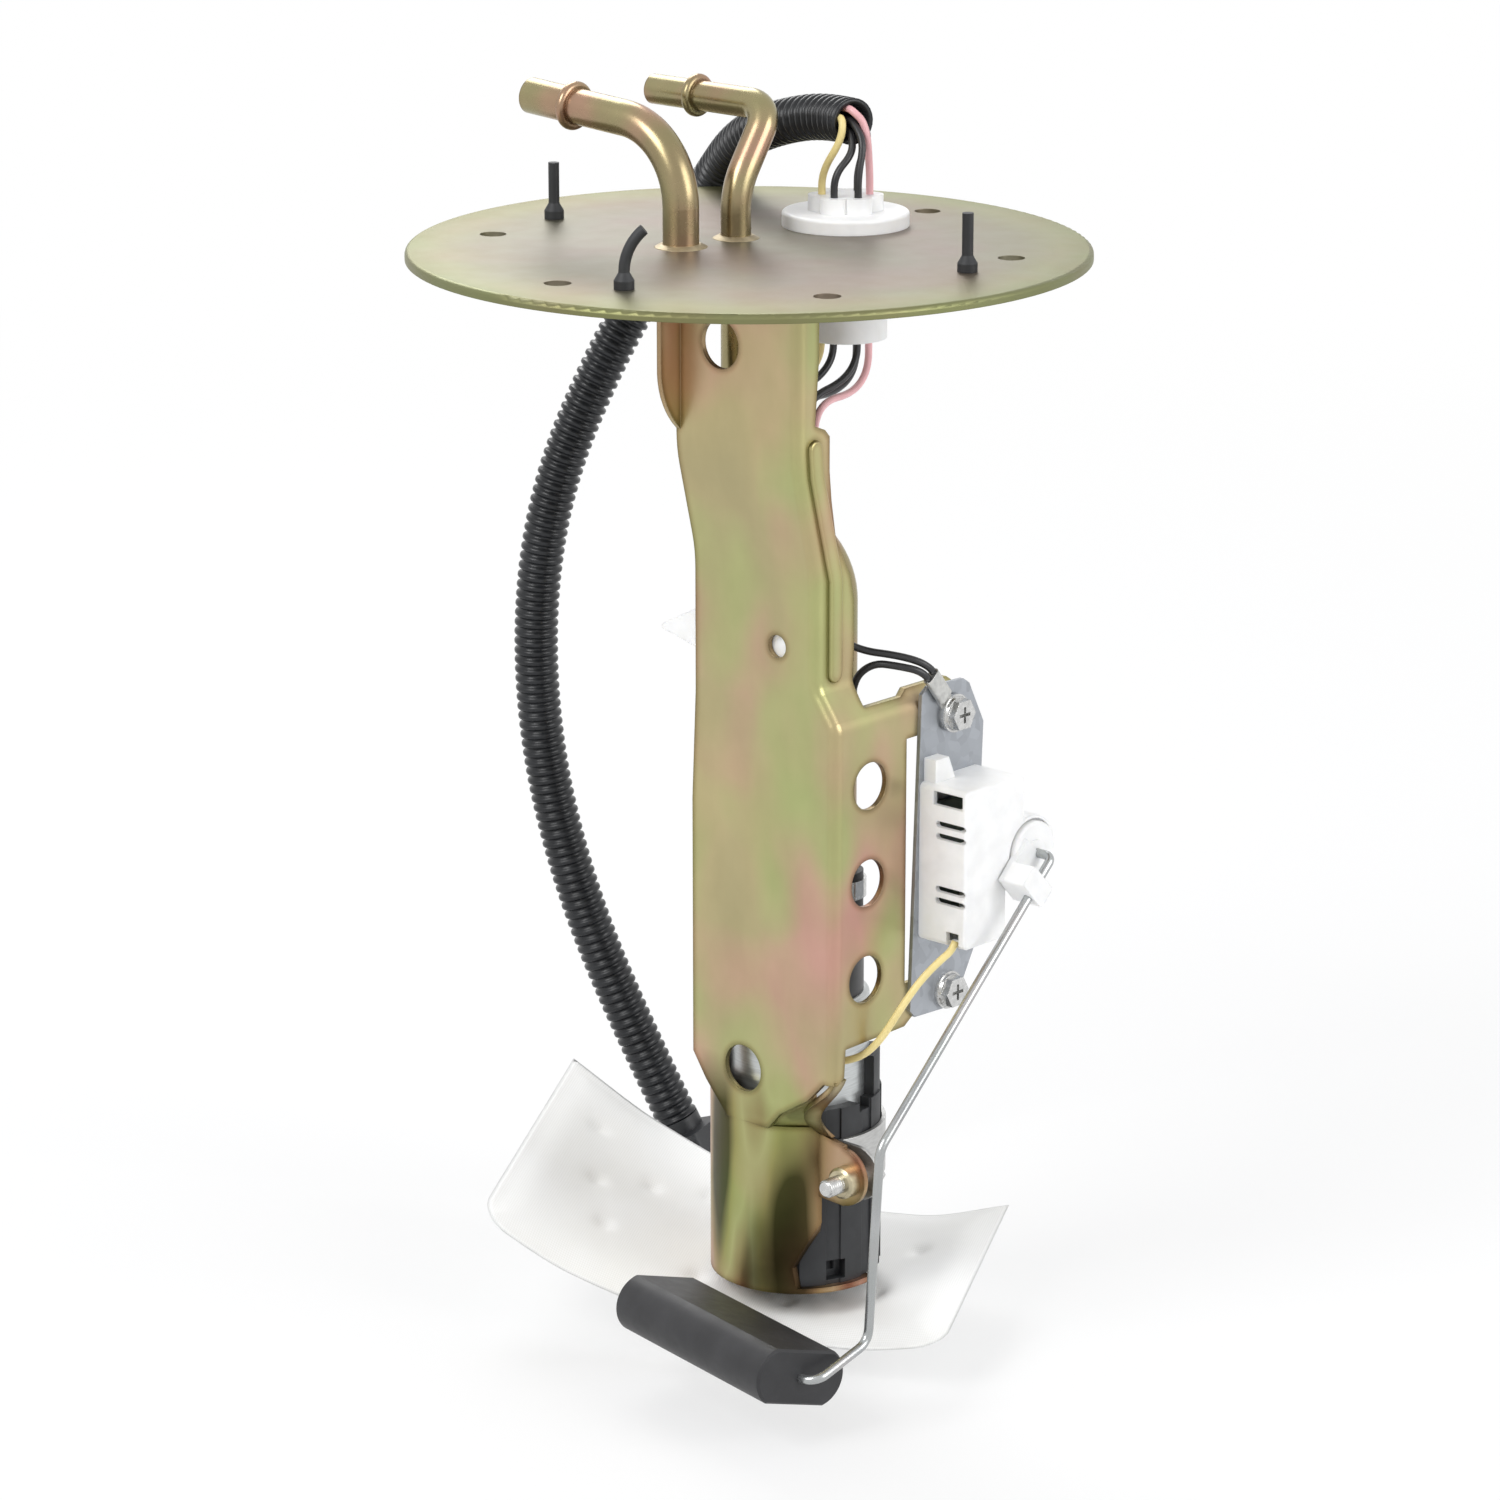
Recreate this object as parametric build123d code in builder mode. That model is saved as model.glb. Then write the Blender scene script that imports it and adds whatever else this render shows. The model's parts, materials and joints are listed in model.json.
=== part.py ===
from build123d import *
import os
from math import atan2, cos, pi, radians, sin, tan

os.makedirs("parts", exist_ok=True)

# Flange that closes the tank, its underside at z = 0
flange_radius = 89.0
flange_sheet = 2.0
rim_drop = 0.4
rim_round = 1.2
bolt_circle_radius = 69.0
bolt_hole_radius = 3.5
bolt_count = 6
first_bolt_angle = 28.7
fit_gap = 0.1

# Metal tubes through the flange
supply_x, supply_y = -12.2, -12.8
supply_radius = 4.75
return_x, return_y = -10.2, 6.0
return_radius = 4.0
tube_wall = 0.9
supply_bend_height = 32.0
supply_end_x = -66.0
supply_end_rise = 3.5
supply_bend_radius = 21.0
return_lean_height = 15.0
return_knee_height = 35.0
return_knee_y = 19.3
return_end_x = -52.0
return_lean_radius = 20.0
return_knee_radius = 7.0
return_tube_bottom = -95.0
bead_height = 1.7
bead_width = 2.6
bead_from_end = 14.5
braze_height = 0.9
braze_spread = 2.2

# Wire grommet
grommet_x, grommet_y = -1.5, 39.3
grommet_radius = 16.9
grommet_plate = 4.0
crown_height = 4.2
crown_core = 6.4
lobe_radius = 3.7
lobe_count = 6
grommet_barrel_radius = 11.2
grommet_barrel_length = 28.0
lock_radius = 15.5
lock_height = 4.0
wire_circle = 6.3
wire_radius = 1.0
seat_angle = 42.5

# Rubber retainers pulled through the flange
retainer_circle_radius = 65.0
retainer_angles = (185.4, 284.0, 10.3)
retainer_waist = 2.1
retainer_bulb = 2.6
retainer_tail = 1.45
retainer_head = 4.6
retainer_head_height = 2.0
retainer_height = 15.0

# Hanger bracket, bent from one sheet
sheet = 1.5
bend_radius = 2.6
upper_web_y = -22.0
lower_web_y = -15.0
joggle_top, joggle_end = -48.5, -77.0
joggle_round = 40.0
upper_left_x, lower_left_x = -5.4, -6.7
upper_right_x = 37.2
panel_x = 44.0
flare_top, flare_end = -107.5, -116.9
flare_round = 5.0
panel_back_y = 13.0
panel_bottom = -205.0
wrap_top = -231.6
wrap_left_x, wrap_right_x = 5.6, 20.5
web_corner = (40.2, -214.5)
tab_back_y = 36.0
tab_top_height, tab_bottom_height = 11.0, 12.5
window_hole_radius = 6.4
small_hole_radius = 3.05
top_hole_x, top_hole_z = 10.0, -19.1
small_hole_x, small_hole_z = 23.5, -98.0
low_hole_x, low_hole_z = 11.5, -216.7
panel_hole_y, panel_hole_top, panel_hole_pitch = -1.4, -134.6, 26.4
panel_hole_drift = 0.7
lip_front_y = -29.2
lip_straight, lip_end = -28.0, -43.5
bead_rib_width = 5.0
bead_rib_height = 1.1
hook_width = 4.4

# Cup that holds the pump
cup_x, cup_y = 10.0, 9.0
cup_radius = 24.0
cup_bottom = -279.5
cup_free_angle, cup_sweep = -33.0, 160.0
high_wall_sweep, high_wall_top = 90.0, -223.0
lip_inner_radius = 17.5
lip_free_angle = 9.0
ear_end_x = 38.5
ear_round = 8.0
ear_top, ear_bottom = -233.5, -251.5
ear_y = -3.3
bolt_x, bolt_z = 40.0, -244.3
clamp_bolt_radius = 2.4
clamp_bolt_front_y = -14.0
bolt_head_radius = 4.6
bolt_head_height = 3.6
nut_radius = 4.3
nut_height = 3.6
strap_sheet = 1.1
strap_top, strap_height = -236.5, 15.0
strap_ear_y = 0.5

# Pump and its rubber sleeve
sleeve_radius = 22.4
sleeve_floor = 3.0
sleeve_ribs, first_rib_angle, rib_width = 12, -8.0, 7.4
port_angle, port_side, port_z = -21.0, 5.5, -274.0
sleeve_top = -228.0
post_top = -217.0
post_angle = 36.0
post_span = 34.0
can_radius = 19.0
can_top = -200.0
cap_radius = 17.4
cap_height = 11.0
outlet_x, outlet_y = 19.5, 14.0
outlet_radius = 3.9
outlet_height = 9.0
inlet_x, inlet_y = 6.0, 12.0
inlet_radius = 5.5
inlet_length = 8.5
hose_radius = 6.7
hose_bore = 4.8
hose_top = -166.0
supply_tube_bottom = -177.0
clamp_band = 5.0
clamp_sheet = 0.8

# Strainer sock
neck_radius = 8.2
neck_height = 5.0
sock_thickness = 4.6
sock_edge_thickness = 1.6
back_left, back_right = (-90.4, 24.1, -249.0), (33.5, 70.8, -274.7)
front_left, front_right = (-57.5, -47.2, -267.7), (69.0, 0.5, -285.5)
sock_stations = ((0.0, 0.0, 0.0), (0.2, 10.5, 9.5), (0.5, 18.0, 13.5), (0.8, 12.0, 8.5), (1.0, 0.0, 0.0))

# Level sender
plate_sheet = 1.2
plate_width, plate_height = 25.6, 90.5
plate_y, plate_z = 28.6, -157.6
plate_tilt = -2.4
top_screw_y, top_screw_z = 29.6, -120.8
low_screw_y, low_screw_z = 29.0, -197.8
screw_radius = 2.0
washer_radius = 5.2
terminal_turn = 129.5
barrel_from, barrel_length = 7.0, 8.8
barrel_thick, barrel_wide = 2.6, 5.2
washer_height = 0.9
screw_flange_radius = 4.7
screw_hex_flat = 7.6
screw_head_height = 3.0
nut_collar = 2.7
nut_depth = 3.0
housing_depth = 16.0
housing_wall = 1.5
housing_front_wall = 3.0
housing_left_y, housing_right_y, housing_low_right_y = 17.0, 41.0, 34.0
housing_top, housing_bottom = -137.3, -180.8
pivot_y, pivot_z = 44.0, -159.2
lobe_seat = 10.0
rotor_radius = 8.4
rotor_recess = 1.5
rotor_gap = 0.3
rotor_height = 2.6
hub_radius, hub_height = 3.6, 0.6
blade_thick = 2.4
clip_from, clip_to = 7.0, 13.4
clip_left, clip_right = -7.0, 4.5
clip_cover = 0.8
shaft_radius = 2.5
shaft_gap = 0.05
wiper_turn = 20.0
wiper_reach = 14.5
wiper_width = 1.6
wiper_sheet = 0.7

# Float arm and float
arm_radius = 1.25
arm_x = 68.5
arm_knee = (arm_x, -24.7, -222.8)
arm_foot = (arm_x, -28.9, -275.0)
float_end = (63.5, -49.3, -280.2)
float_turn = 11.0
float_roll = 16.0
float_length = 64.0
float_half_width = 14.3
float_flat_half = 9.6
float_half_height = 7.4
arm_in_float = 30.0
arm_bend = 4.0

# Wiring
loom_radius = 6.2
loom_start = (-1.8, 42.2, 29.0)
exit_x, exit_z = 57.0, -178.5


def corner_radii(points, share=0.45):
    """The arc at each corner of a route, as large as the shorter run beside it allows."""
    radii = []
    for before, at, after in zip(points, points[1:], points[2:]):
        run_in = Vector(*at) - Vector(*before)
        run_out = Vector(*after) - Vector(*at)
        half_turn = radians(run_in.get_angle(run_out)) / 2
        radii.append(share * min(run_in.length, run_out.length) / tan(half_turn))
    return radii


def between(a, b, share):
    """The point at a share of the way from a to b."""
    return Vector(*a) + (Vector(*b) - Vector(*a)) * share


def polar(x, y, radius, angle):
    """The point at a radius and an angle about (x, y)."""
    return (x + radius * cos(radians(angle)), y + radius * sin(radians(angle)))


def at_height(height):
    """Picks the corners of an upright sketch that lie at one height."""
    return lambda corner: abs(corner.Y - height) < 0.01


def round_of(radius):
    """Picks the full circles of one radius."""
    return lambda edge: abs(edge.length - 2 * pi * radius) < 0.1


def save(piece, label):
    """Names a finished piece and writes it."""
    piece.part.label = label
    export_step(piece.part, f"parts/{label}.step")


flange_top = Plane.XY.offset(flange_sheet)

# Flange plate: a disc with its rim turned down
with BuildPart() as flange_plate:
    with BuildSketch(Plane.XY.offset(-rim_drop)):
        Circle(flange_radius)
    extrude(amount=flange_sheet + rim_drop)
    fillet(flange_plate.faces().sort_by(Axis.Z)[-1].edges(), rim_round)
    with BuildSketch(Plane.XY.offset(-rim_drop)):
        Circle(flange_radius - flange_sheet)
    extrude(amount=rim_drop, mode=Mode.SUBTRACT)
    with PolarLocations(bolt_circle_radius, bolt_count, start_angle=first_bolt_angle):
        Hole(bolt_hole_radius)
    with Locations(*[polar(0, 0, retainer_circle_radius, angle) for angle in retainer_angles]):
        Hole(retainer_waist + fit_gap)
    with Locations((supply_x, supply_y)):
        Hole(supply_radius + fit_gap)
    with Locations((return_x, return_y)):
        Hole(return_radius + fit_gap)
    with Locations((grommet_x, grommet_y)):
        Hole(grommet_barrel_radius + fit_gap)
save(flange_plate, "flange_plate")

# Supply tube: hose bead outside, and a long bend down to the pump's hose
supply_route = [
    (supply_end_x, supply_y, supply_bend_height + supply_end_rise),
    (supply_x, supply_y, supply_bend_height),
    (supply_x, supply_y, -28.0),
    (outlet_x, outlet_y, -84.0),
    (outlet_x, outlet_y, supply_tube_bottom),
]
supply_run = Vector(*supply_route[1]) - Vector(*supply_route[0])
with BuildPart() as supply_tube:
    with BuildLine() as supply_line:
        FilletPolyline(*supply_route, radius=[supply_bend_radius, 20.0, 24.0])
    with BuildSketch(Plane(origin=supply_route[0], z_dir=supply_run)):
        Circle(supply_radius)
    sweep()
    with BuildSketch(Plane(origin=supply_route[0], z_dir=supply_run).offset(bead_from_end)):
        Circle(supply_radius + bead_height)
    extrude(amount=bead_width)
    fillet(supply_tube.edges().filter_by(round_of(supply_radius + bead_height)), bead_width * 0.45)
    with BuildSketch(Plane(origin=supply_route[0], z_dir=supply_run)):
        Circle(supply_radius - tube_wall)
    sweep(path=supply_line.wire(), mode=Mode.SUBTRACT)
save(supply_tube, "supply_tube")

# Return tube: leans back, then turns a tight knee over the flange
return_route = [
    (return_end_x, return_knee_y, return_knee_height),
    (return_x, return_knee_y, return_knee_height),
    (return_x, return_y, return_lean_height),
    (return_x, return_y, return_tube_bottom),
]
return_run = Vector(*return_route[1]) - Vector(*return_route[0])
with BuildPart() as return_tube:
    with BuildLine() as return_line:
        FilletPolyline(*return_route, radius=[return_knee_radius, return_lean_radius])
    with BuildSketch(Plane(origin=return_route[0], z_dir=return_run)):
        Circle(return_radius)
    sweep()
    with BuildSketch(Plane(origin=return_route[0], z_dir=return_run).offset(bead_from_end)):
        Circle(return_radius + bead_height)
    extrude(amount=bead_width)
    fillet(return_tube.edges().filter_by(round_of(return_radius + bead_height)), bead_width * 0.45)
    with BuildSketch(Plane(origin=return_route[0], z_dir=return_run)):
        Circle(return_radius - tube_wall)
    sweep(path=return_line.wire(), mode=Mode.SUBTRACT)
save(return_tube, "return_tube")

# Braze rings: a thin collar of filler round each tube on the flange
with BuildPart() as braze_rings:
    for x, y, radius in ((supply_x, supply_y, supply_radius), (return_x, return_y, return_radius)):
        with Locations((x, y, flange_sheet + braze_height / 2)):
            Cone(radius + braze_spread, radius + 0.5, braze_height)
        with Locations((x, y, flange_sheet)):
            Cylinder(radius + 0.02, 3 * braze_height, mode=Mode.SUBTRACT)
save(braze_rings, "braze_rings")

# Wire grommet: a disc and a lobed crown above, a long barrel below
wire_seats = [polar(grommet_x, grommet_y, wire_circle, seat_angle + 60 * k) for k in range(lobe_count)]
crown_top = flange_sheet + grommet_plate + crown_height
with BuildPart() as wire_grommet:
    with BuildSketch(flange_top):
        with Locations((grommet_x, grommet_y)):
            Circle(grommet_radius)
    extrude(amount=grommet_plate)
    fillet(wire_grommet.faces().sort_by(Axis.Z)[-1].edges(), 0.9)
    with BuildSketch(flange_top.offset(grommet_plate)):
        with Locations((grommet_x, grommet_y)):
            Circle(crown_core)
        with Locations(*wire_seats):
            Circle(lobe_radius)
    extrude(amount=crown_height)
    with BuildSketch(flange_top):
        with Locations((grommet_x, grommet_y)):
            Circle(grommet_barrel_radius)
    extrude(amount=-(flange_sheet + grommet_barrel_length))
    with Locations(*wire_seats):
        Hole(wire_radius + 0.05)
save(wire_grommet, "wire_grommet")

# Lock ring under the flange
with BuildPart() as grommet_lock:
    with BuildSketch(Plane.XY):
        with Locations((grommet_x, grommet_y)):
            Circle(lock_radius)
            Circle(grommet_barrel_radius + 0.02, mode=Mode.SUBTRACT)
            with PolarLocations(lock_radius, 8):
                Rectangle(3.0, 4.0, mode=Mode.SUBTRACT)
    extrude(amount=-lock_height)
save(grommet_lock, "grommet_lock")

# Rubber retainers: head below, bulb and tail above; one tail is bent over
with BuildPart() as rubber_retainers:
    for angle in retainer_angles:
        foot = polar(0, 0, retainer_circle_radius, angle)
        with BuildSketch(Plane.XY.offset(-retainer_head_height)):
            with Locations(foot):
                Circle(retainer_head)
        extrude(amount=retainer_head_height)
        with BuildSketch(Plane.XY):
            with Locations(foot):
                Circle(retainer_waist)
        extrude(amount=flange_sheet)
        with BuildSketch(flange_top):
            with Locations(foot):
                Circle(retainer_bulb)
        extrude(amount=2.2)
        with Locations((*foot, flange_sheet + 2.2 + 1.0)):
            Cone(retainer_bulb, retainer_tail, 2.0)
        bend = 5.0 if angle == retainer_angles[1] else 0.0
        tail_foot = (*foot, flange_sheet + 4.2)
        tail_tip = (foot[0] + bend * 0.74, foot[1] + bend * 0.68, flange_sheet + retainer_height)
        with BuildLine() as tail_line:
            if bend:
                TangentArc(tail_foot, tail_tip, tangent=(0, 0, 1))
            else:
                Line(tail_foot, tail_tip)
        with BuildSketch(flange_top.offset(4.2)):
            with Locations(foot):
                Circle(retainer_tail)
        sweep(path=tail_line.wire())
save(rubber_retainers, "rubber_retainers")

# Space inside the hanger's channel, one sheet inside its outline
inner_front = lower_web_y + sheet
joggle_turn = atan2(lower_web_y - upper_web_y, joggle_top - joggle_end)
flare_turn = atan2(panel_x - upper_right_x, flare_top - flare_end)
joggle_step = sheet * tan(joggle_turn / 2)
flare_step = sheet * tan(flare_turn / 2)
with BuildPart() as channel_space:
    with BuildSketch(Plane.YZ.offset(-40)) as inner_side:
        with BuildLine():
            Polyline(
                (upper_web_y + sheet, 5), (upper_web_y + sheet, joggle_top - joggle_step),
                (inner_front, joggle_end - joggle_step),
                (inner_front, wrap_top - 5), (60, wrap_top - 5), (60, 5), close=True)
        make_face()
        fillet(inner_side.vertices().filter_by(at_height(joggle_top - joggle_step)), joggle_round - sheet)
        fillet(inner_side.vertices().filter_by(at_height(joggle_end - joggle_step)), joggle_round + sheet)
    extrude(amount=40 + panel_x - sheet)
    with BuildSketch(Plane.XZ.offset(60)) as inner_face:
        with BuildLine():
            Polyline(
                (-40, 5), (upper_right_x - sheet, 5), (upper_right_x - sheet, flare_top - flare_step),
                (panel_x - sheet, flare_end - flare_step), (panel_x - sheet, wrap_top - 5), (-40, wrap_top - 5),
                close=True)
        make_face()
        fillet(inner_face.vertices().filter_by(at_height(flare_top - flare_step)), flare_round + sheet)
        fillet(inner_face.vertices().filter_by(at_height(flare_end - flare_step)), flare_round - sheet)
    extrude(amount=-140, mode=Mode.INTERSECT)
    inner_corner = channel_space.edges().filter_by(
        lambda e: e.center().X > upper_right_x - 2 * sheet and e.center().Y < inner_front + 0.2
        and e.bounding_box().size.Z > 1)
    fillet(inner_corner, bend_radius - sheet)

# Hanger bracket: web, stiffening lip, ribbed wall, side panel, cup and clamp ear
hook_strip = (
    ((panel_x - 0.9, lower_web_y + 2.9, web_corner[1] + 1.2), (0, 1, 0), (-0.3, 0, -1)),
    ((38.6, lower_web_y + 3.6, -219.0), (0.3, 1, 0), (-0.8, 0, -0.6)),
    ((33.8, lower_web_y + 4.2, -223.6), (0.6, 0.8, 0), (-0.4, 0.1, -0.9)),
    ((32.0, ear_y - 0.5 * sheet, ear_top - 0.2), (1, 0, 0), (0, 0, -1)),
)
tab_bottom = panel_bottom + tab_bottom_height
tab_top = flare_end + 3.0 - tab_top_height
with BuildPart() as hanger_bracket:
    with BuildSketch(Plane.YZ.offset(-20)) as side_outline:
        with BuildLine():
            Polyline(
                (upper_web_y, 0), (upper_web_y, joggle_top), (lower_web_y, joggle_end), (lower_web_y, wrap_top),
                (inner_front, wrap_top), (inner_front, -214.5), (-11.0, -212.5), (-10.5, panel_bottom),
                (panel_back_y, panel_bottom + 0.5), (panel_back_y + 3, panel_bottom + 2.5),
                (tab_back_y - 3, panel_bottom + 3.5), (tab_back_y - 1, panel_bottom + 6),
                (tab_back_y - 1, tab_bottom), (panel_back_y, tab_bottom),
                (panel_back_y, tab_top), (tab_back_y, tab_top), (tab_back_y, flare_end + 1.5),
                (tab_back_y - 3.5, flare_end + 4.5), (panel_back_y + 3, flare_end + 4.5),
                (panel_back_y, flare_end + 3), (-1.5, flare_end + 3),
                (-1.5, -112.0), (-0.4, -100.0), (-0.4, -86.0), (-1.8, -79.0), (-7.7, -68.0), (-9.4, -58.0),
                (-10.2, -50.0), (-10.2, -41.0), (-12.0, -39.0), (-15.8, -37.5), (-14.4, -20.0), (-14.4, 0),
                close=True)
        make_face()
        fillet(side_outline.vertices().filter_by(at_height(joggle_top)), joggle_round)
        fillet(side_outline.vertices().filter_by(at_height(joggle_end)), joggle_round)
    extrude(amount=80)
    with BuildSketch(Plane.XZ.offset(60)) as front_outline:
        with BuildLine():
            Polyline(
                (upper_left_x, 0), (upper_left_x, -115.0), (lower_left_x, -145.0), (lower_left_x, -216.0),
                (-2.0, -223.0), (wrap_left_x, wrap_top), (wrap_right_x, wrap_top), (24.8, -226.6),
                (34.6, -220.4), web_corner, (panel_x, web_corner[1]), (panel_x, flare_end),
                (upper_right_x, flare_top), (upper_right_x, 0), close=True)
        make_face()
        fillet(front_outline.vertices().filter_by(at_height(flare_top)), flare_round)
        fillet(front_outline.vertices().filter_by(at_height(flare_end)), flare_round)
    extrude(amount=-140, mode=Mode.INTERSECT)
    outer_corner = hanger_bracket.edges().filter_by(
        lambda e: e.center().X > upper_right_x - 1 and e.center().Z > web_corner[1]
        and e.center().Y < (lower_web_y if e.center().Z < joggle_top + 5 else upper_web_y) + 0.2
        and e.bounding_box().size.Z > 1)
    fillet(outer_corner, bend_radius)
    add(channel_space.part, mode=Mode.SUBTRACT)
    # lip turned forward along the upper left edge
    with BuildSketch(Plane.YZ.offset(upper_left_x)):
        with BuildLine():
            front = Line((lip_front_y, 0), (lip_front_y, lip_straight))
            curve = ThreePointArc(front @ 1, (lip_front_y + 2.4, lip_straight - 9.0), (upper_web_y + 0.2, lip_end))
            back = Line(curve @ 1, (upper_web_y + 0.2, 0))
            Line(back @ 1, front @ 0)
        make_face()
    extrude(amount=sheet)
    # long rib pressed out of the wall, round at its ends
    rib_points = ((-16.2, -43.5), (-15.6, -50.5), (-8.2, -79.0), (-8.2, -104.0))
    with BuildSketch(Plane.YZ.offset(upper_right_x - 0.2)):
        for low, high in zip(rib_points[1:], rib_points):
            run = Vector(*high) - Vector(*low)
            with Locations(((low[0] + high[0]) / 2, (low[1] + high[1]) / 2)):
                SlotCenterToCenter(run.length, bead_rib_width, rotation=Vector(1, 0).get_angle(run))
    extrude(amount=bead_rib_height + 0.2)
    rib_rim = hanger_bracket.faces().filter_by(Plane.YZ).filter_by(
        lambda f: abs(f.center().X - upper_right_x - bead_rib_height) < 0.01)
    fillet(rib_rim.edges(), bead_rib_height * 0.7)
    # holes in the web
    with BuildSketch(Plane.XZ.offset(30)):
        with Locations((top_hole_x, top_hole_z)):
            Circle(window_hole_radius)
        with Locations((small_hole_x, small_hole_z)):
            Circle(small_hole_radius)
        with Locations((low_hole_x, low_hole_z)):
            Circle(window_hole_radius)
    extrude(amount=-(30 + lower_web_y + 2 * sheet), mode=Mode.SUBTRACT)
    # holes in the side panel
    with BuildSketch(Plane.YZ.offset(panel_x - 4)):
        for k in range(3):
            with Locations((panel_hole_y - panel_hole_drift * k, panel_hole_top - panel_hole_pitch * k)):
                Circle(window_hole_radius)
        with Locations((top_screw_y, top_screw_z), (low_screw_y, low_screw_z)):
            Circle(screw_radius + fit_gap)
    extrude(amount=8, mode=Mode.SUBTRACT)
    # cup wall
    with BuildSketch(Plane.XY.offset(cup_bottom)):
        with BuildLine():
            outer = CenterArc((cup_x, cup_y), cup_radius, cup_free_angle, -cup_sweep)
            inner = CenterArc((cup_x, cup_y), cup_radius - sheet, cup_free_angle, -cup_sweep)
            Line(outer @ 0, inner @ 0)
            Line(outer @ 1, inner @ 1)
        make_face()
    extrude(amount=wrap_top - cup_bottom)
    # the wall stands higher behind the web's left edge
    with BuildSketch(Plane.XY.offset(wrap_top)):
        with BuildLine():
            outer = CenterArc((cup_x, cup_y), cup_radius, cup_free_angle - cup_sweep, high_wall_sweep)
            inner = CenterArc((cup_x, cup_y), cup_radius - sheet, cup_free_angle - cup_sweep, high_wall_sweep)
            Line(outer @ 0, inner @ 0)
            Line(outer @ 1, inner @ 1)
        make_face()
    extrude(amount=high_wall_top - wrap_top)
    # the wall's free edge runs back below the ear
    with BuildSketch(Plane.XZ.offset(20)):
        with BuildLine():
            Polyline((31.0, -257.0), (24.8, -272.0), (25.6, cup_bottom + sheet), (36.0, cup_bottom + sheet),
                     (36.0, -257.0), close=True)
        make_face()
    extrude(amount=-24, mode=Mode.SUBTRACT)
    # ledge under the sleeve
    with BuildSketch(Plane.XY.offset(cup_bottom)):
        with BuildLine():
            outer = CenterArc((cup_x, cup_y), cup_radius, lip_free_angle, -cup_sweep - 30)
            inner = CenterArc((cup_x, cup_y), lip_inner_radius, lip_free_angle, -cup_sweep - 30)
            Line(outer @ 0, inner @ 0)
            Line(outer @ 1, inner @ 1)
        make_face()
    extrude(amount=sheet)
    # clamp ear
    with BuildSketch(Plane.XZ.offset(-ear_y)):
        with BuildLine():
            Polyline((29.6, ear_top), (ear_end_x, ear_top - 1.5), (ear_end_x, ear_bottom - 0.5),
                     (29.6, ear_bottom), close=True)
        make_face()
        with Locations((ear_end_x - 0.6, (ear_top + ear_bottom) / 2 - 1.3)):
            Circle(ear_round)
        with Locations((bolt_x, bolt_z)):
            Circle(clamp_bolt_radius + fit_gap, mode=Mode.SUBTRACT)
    extrude(amount=sheet)
    # narrow strip of sheet that curls from the panel's lower corner down to the ear
    for place, across, way in hook_strip:
        with BuildSketch(Plane(origin=place, x_dir=across, z_dir=way)):
            Rectangle(hook_width, sheet)
    loft()
save(hanger_bracket, "hanger_bracket")

# Clamp strap: a hoop that closes the cup, lapped on the cup's far edge, with an ear facing the bracket's ear
strap_inner = cup_radius - sheet
strap_outer = strap_inner + strap_sheet
lap_start = cup_free_angle - cup_sweep + 360
with BuildPart() as clamp_strap:
    with BuildSketch(Plane.XY.offset(strap_top - strap_height)):
        with BuildLine():
            outer = CenterArc((cup_x, cup_y), strap_outer, -20, lap_start - 6 + 20)
            inner = CenterArc((cup_x, cup_y), strap_inner, -20, lap_start - 6 + 20)
            Line(outer @ 0, inner @ 0)
            Line(outer @ 1, inner @ 1)
        make_face()
        with BuildLine():
            outer = CenterArc((cup_x, cup_y), cup_radius + strap_sheet, lap_start - 6, 22)
            inner = CenterArc((cup_x, cup_y), cup_radius, lap_start - 6, 22)
            Line(outer @ 0, inner @ 0)
            Line(outer @ 1, inner @ 1)
        make_face()
        with BuildLine():
            Polyline(
                polar(cup_x, cup_y, strap_inner, lap_start - 9), polar(cup_x, cup_y, strap_inner, lap_start - 6),
                polar(cup_x, cup_y, cup_radius + strap_sheet, lap_start - 3),
                polar(cup_x, cup_y, cup_radius + strap_sheet, lap_start - 6), close=True)
        make_face()
    extrude(amount=strap_height)
    with BuildSketch(Plane.XZ.offset(-(strap_ear_y + strap_sheet))):
        with BuildLine():
            Polyline((31.5, strap_top), (ear_end_x, strap_top), (ear_end_x, strap_top - strap_height),
                     (31.5, strap_top - strap_height), close=True)
        make_face()
        with Locations((ear_end_x, strap_top - strap_height / 2)):
            Circle(strap_height / 2)
        with Locations((bolt_x, bolt_z)):
            Circle(clamp_bolt_radius + fit_gap, mode=Mode.SUBTRACT)
    extrude(amount=strap_sheet)
save(clamp_strap, "clamp_strap")

# Clamp bolt and its nut
strap_ear_back = strap_ear_y + strap_sheet
with BuildPart() as clamp_bolt:
    with BuildSketch(Plane.XZ.offset(-clamp_bolt_front_y)):
        with Locations((bolt_x, bolt_z)):
            Circle(clamp_bolt_radius)
    extrude(amount=-(strap_ear_back - clamp_bolt_front_y))
    with BuildSketch(Plane.XZ.offset(-strap_ear_back)):
        with Locations((bolt_x, bolt_z)):
            RegularPolygon(bolt_head_radius, 6)
    extrude(amount=-bolt_head_height)
    chamfer(clamp_bolt.faces().sort_by(Axis.Y)[0].edges(), 0.5)
save(clamp_bolt, "clamp_bolt")

with BuildPart() as clamp_nut:
    with BuildSketch(Plane.XZ.offset(-(ear_y - sheet))):
        with Locations((bolt_x, bolt_z)):
            Circle(nut_radius)
            Circle(clamp_bolt_radius, mode=Mode.SUBTRACT)
    extrude(amount=nut_height)
    chamfer(clamp_nut.faces().sort_by(Axis.Y)[0].outer_wire().edges(), 0.7)
save(clamp_nut, "clamp_nut")

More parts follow.
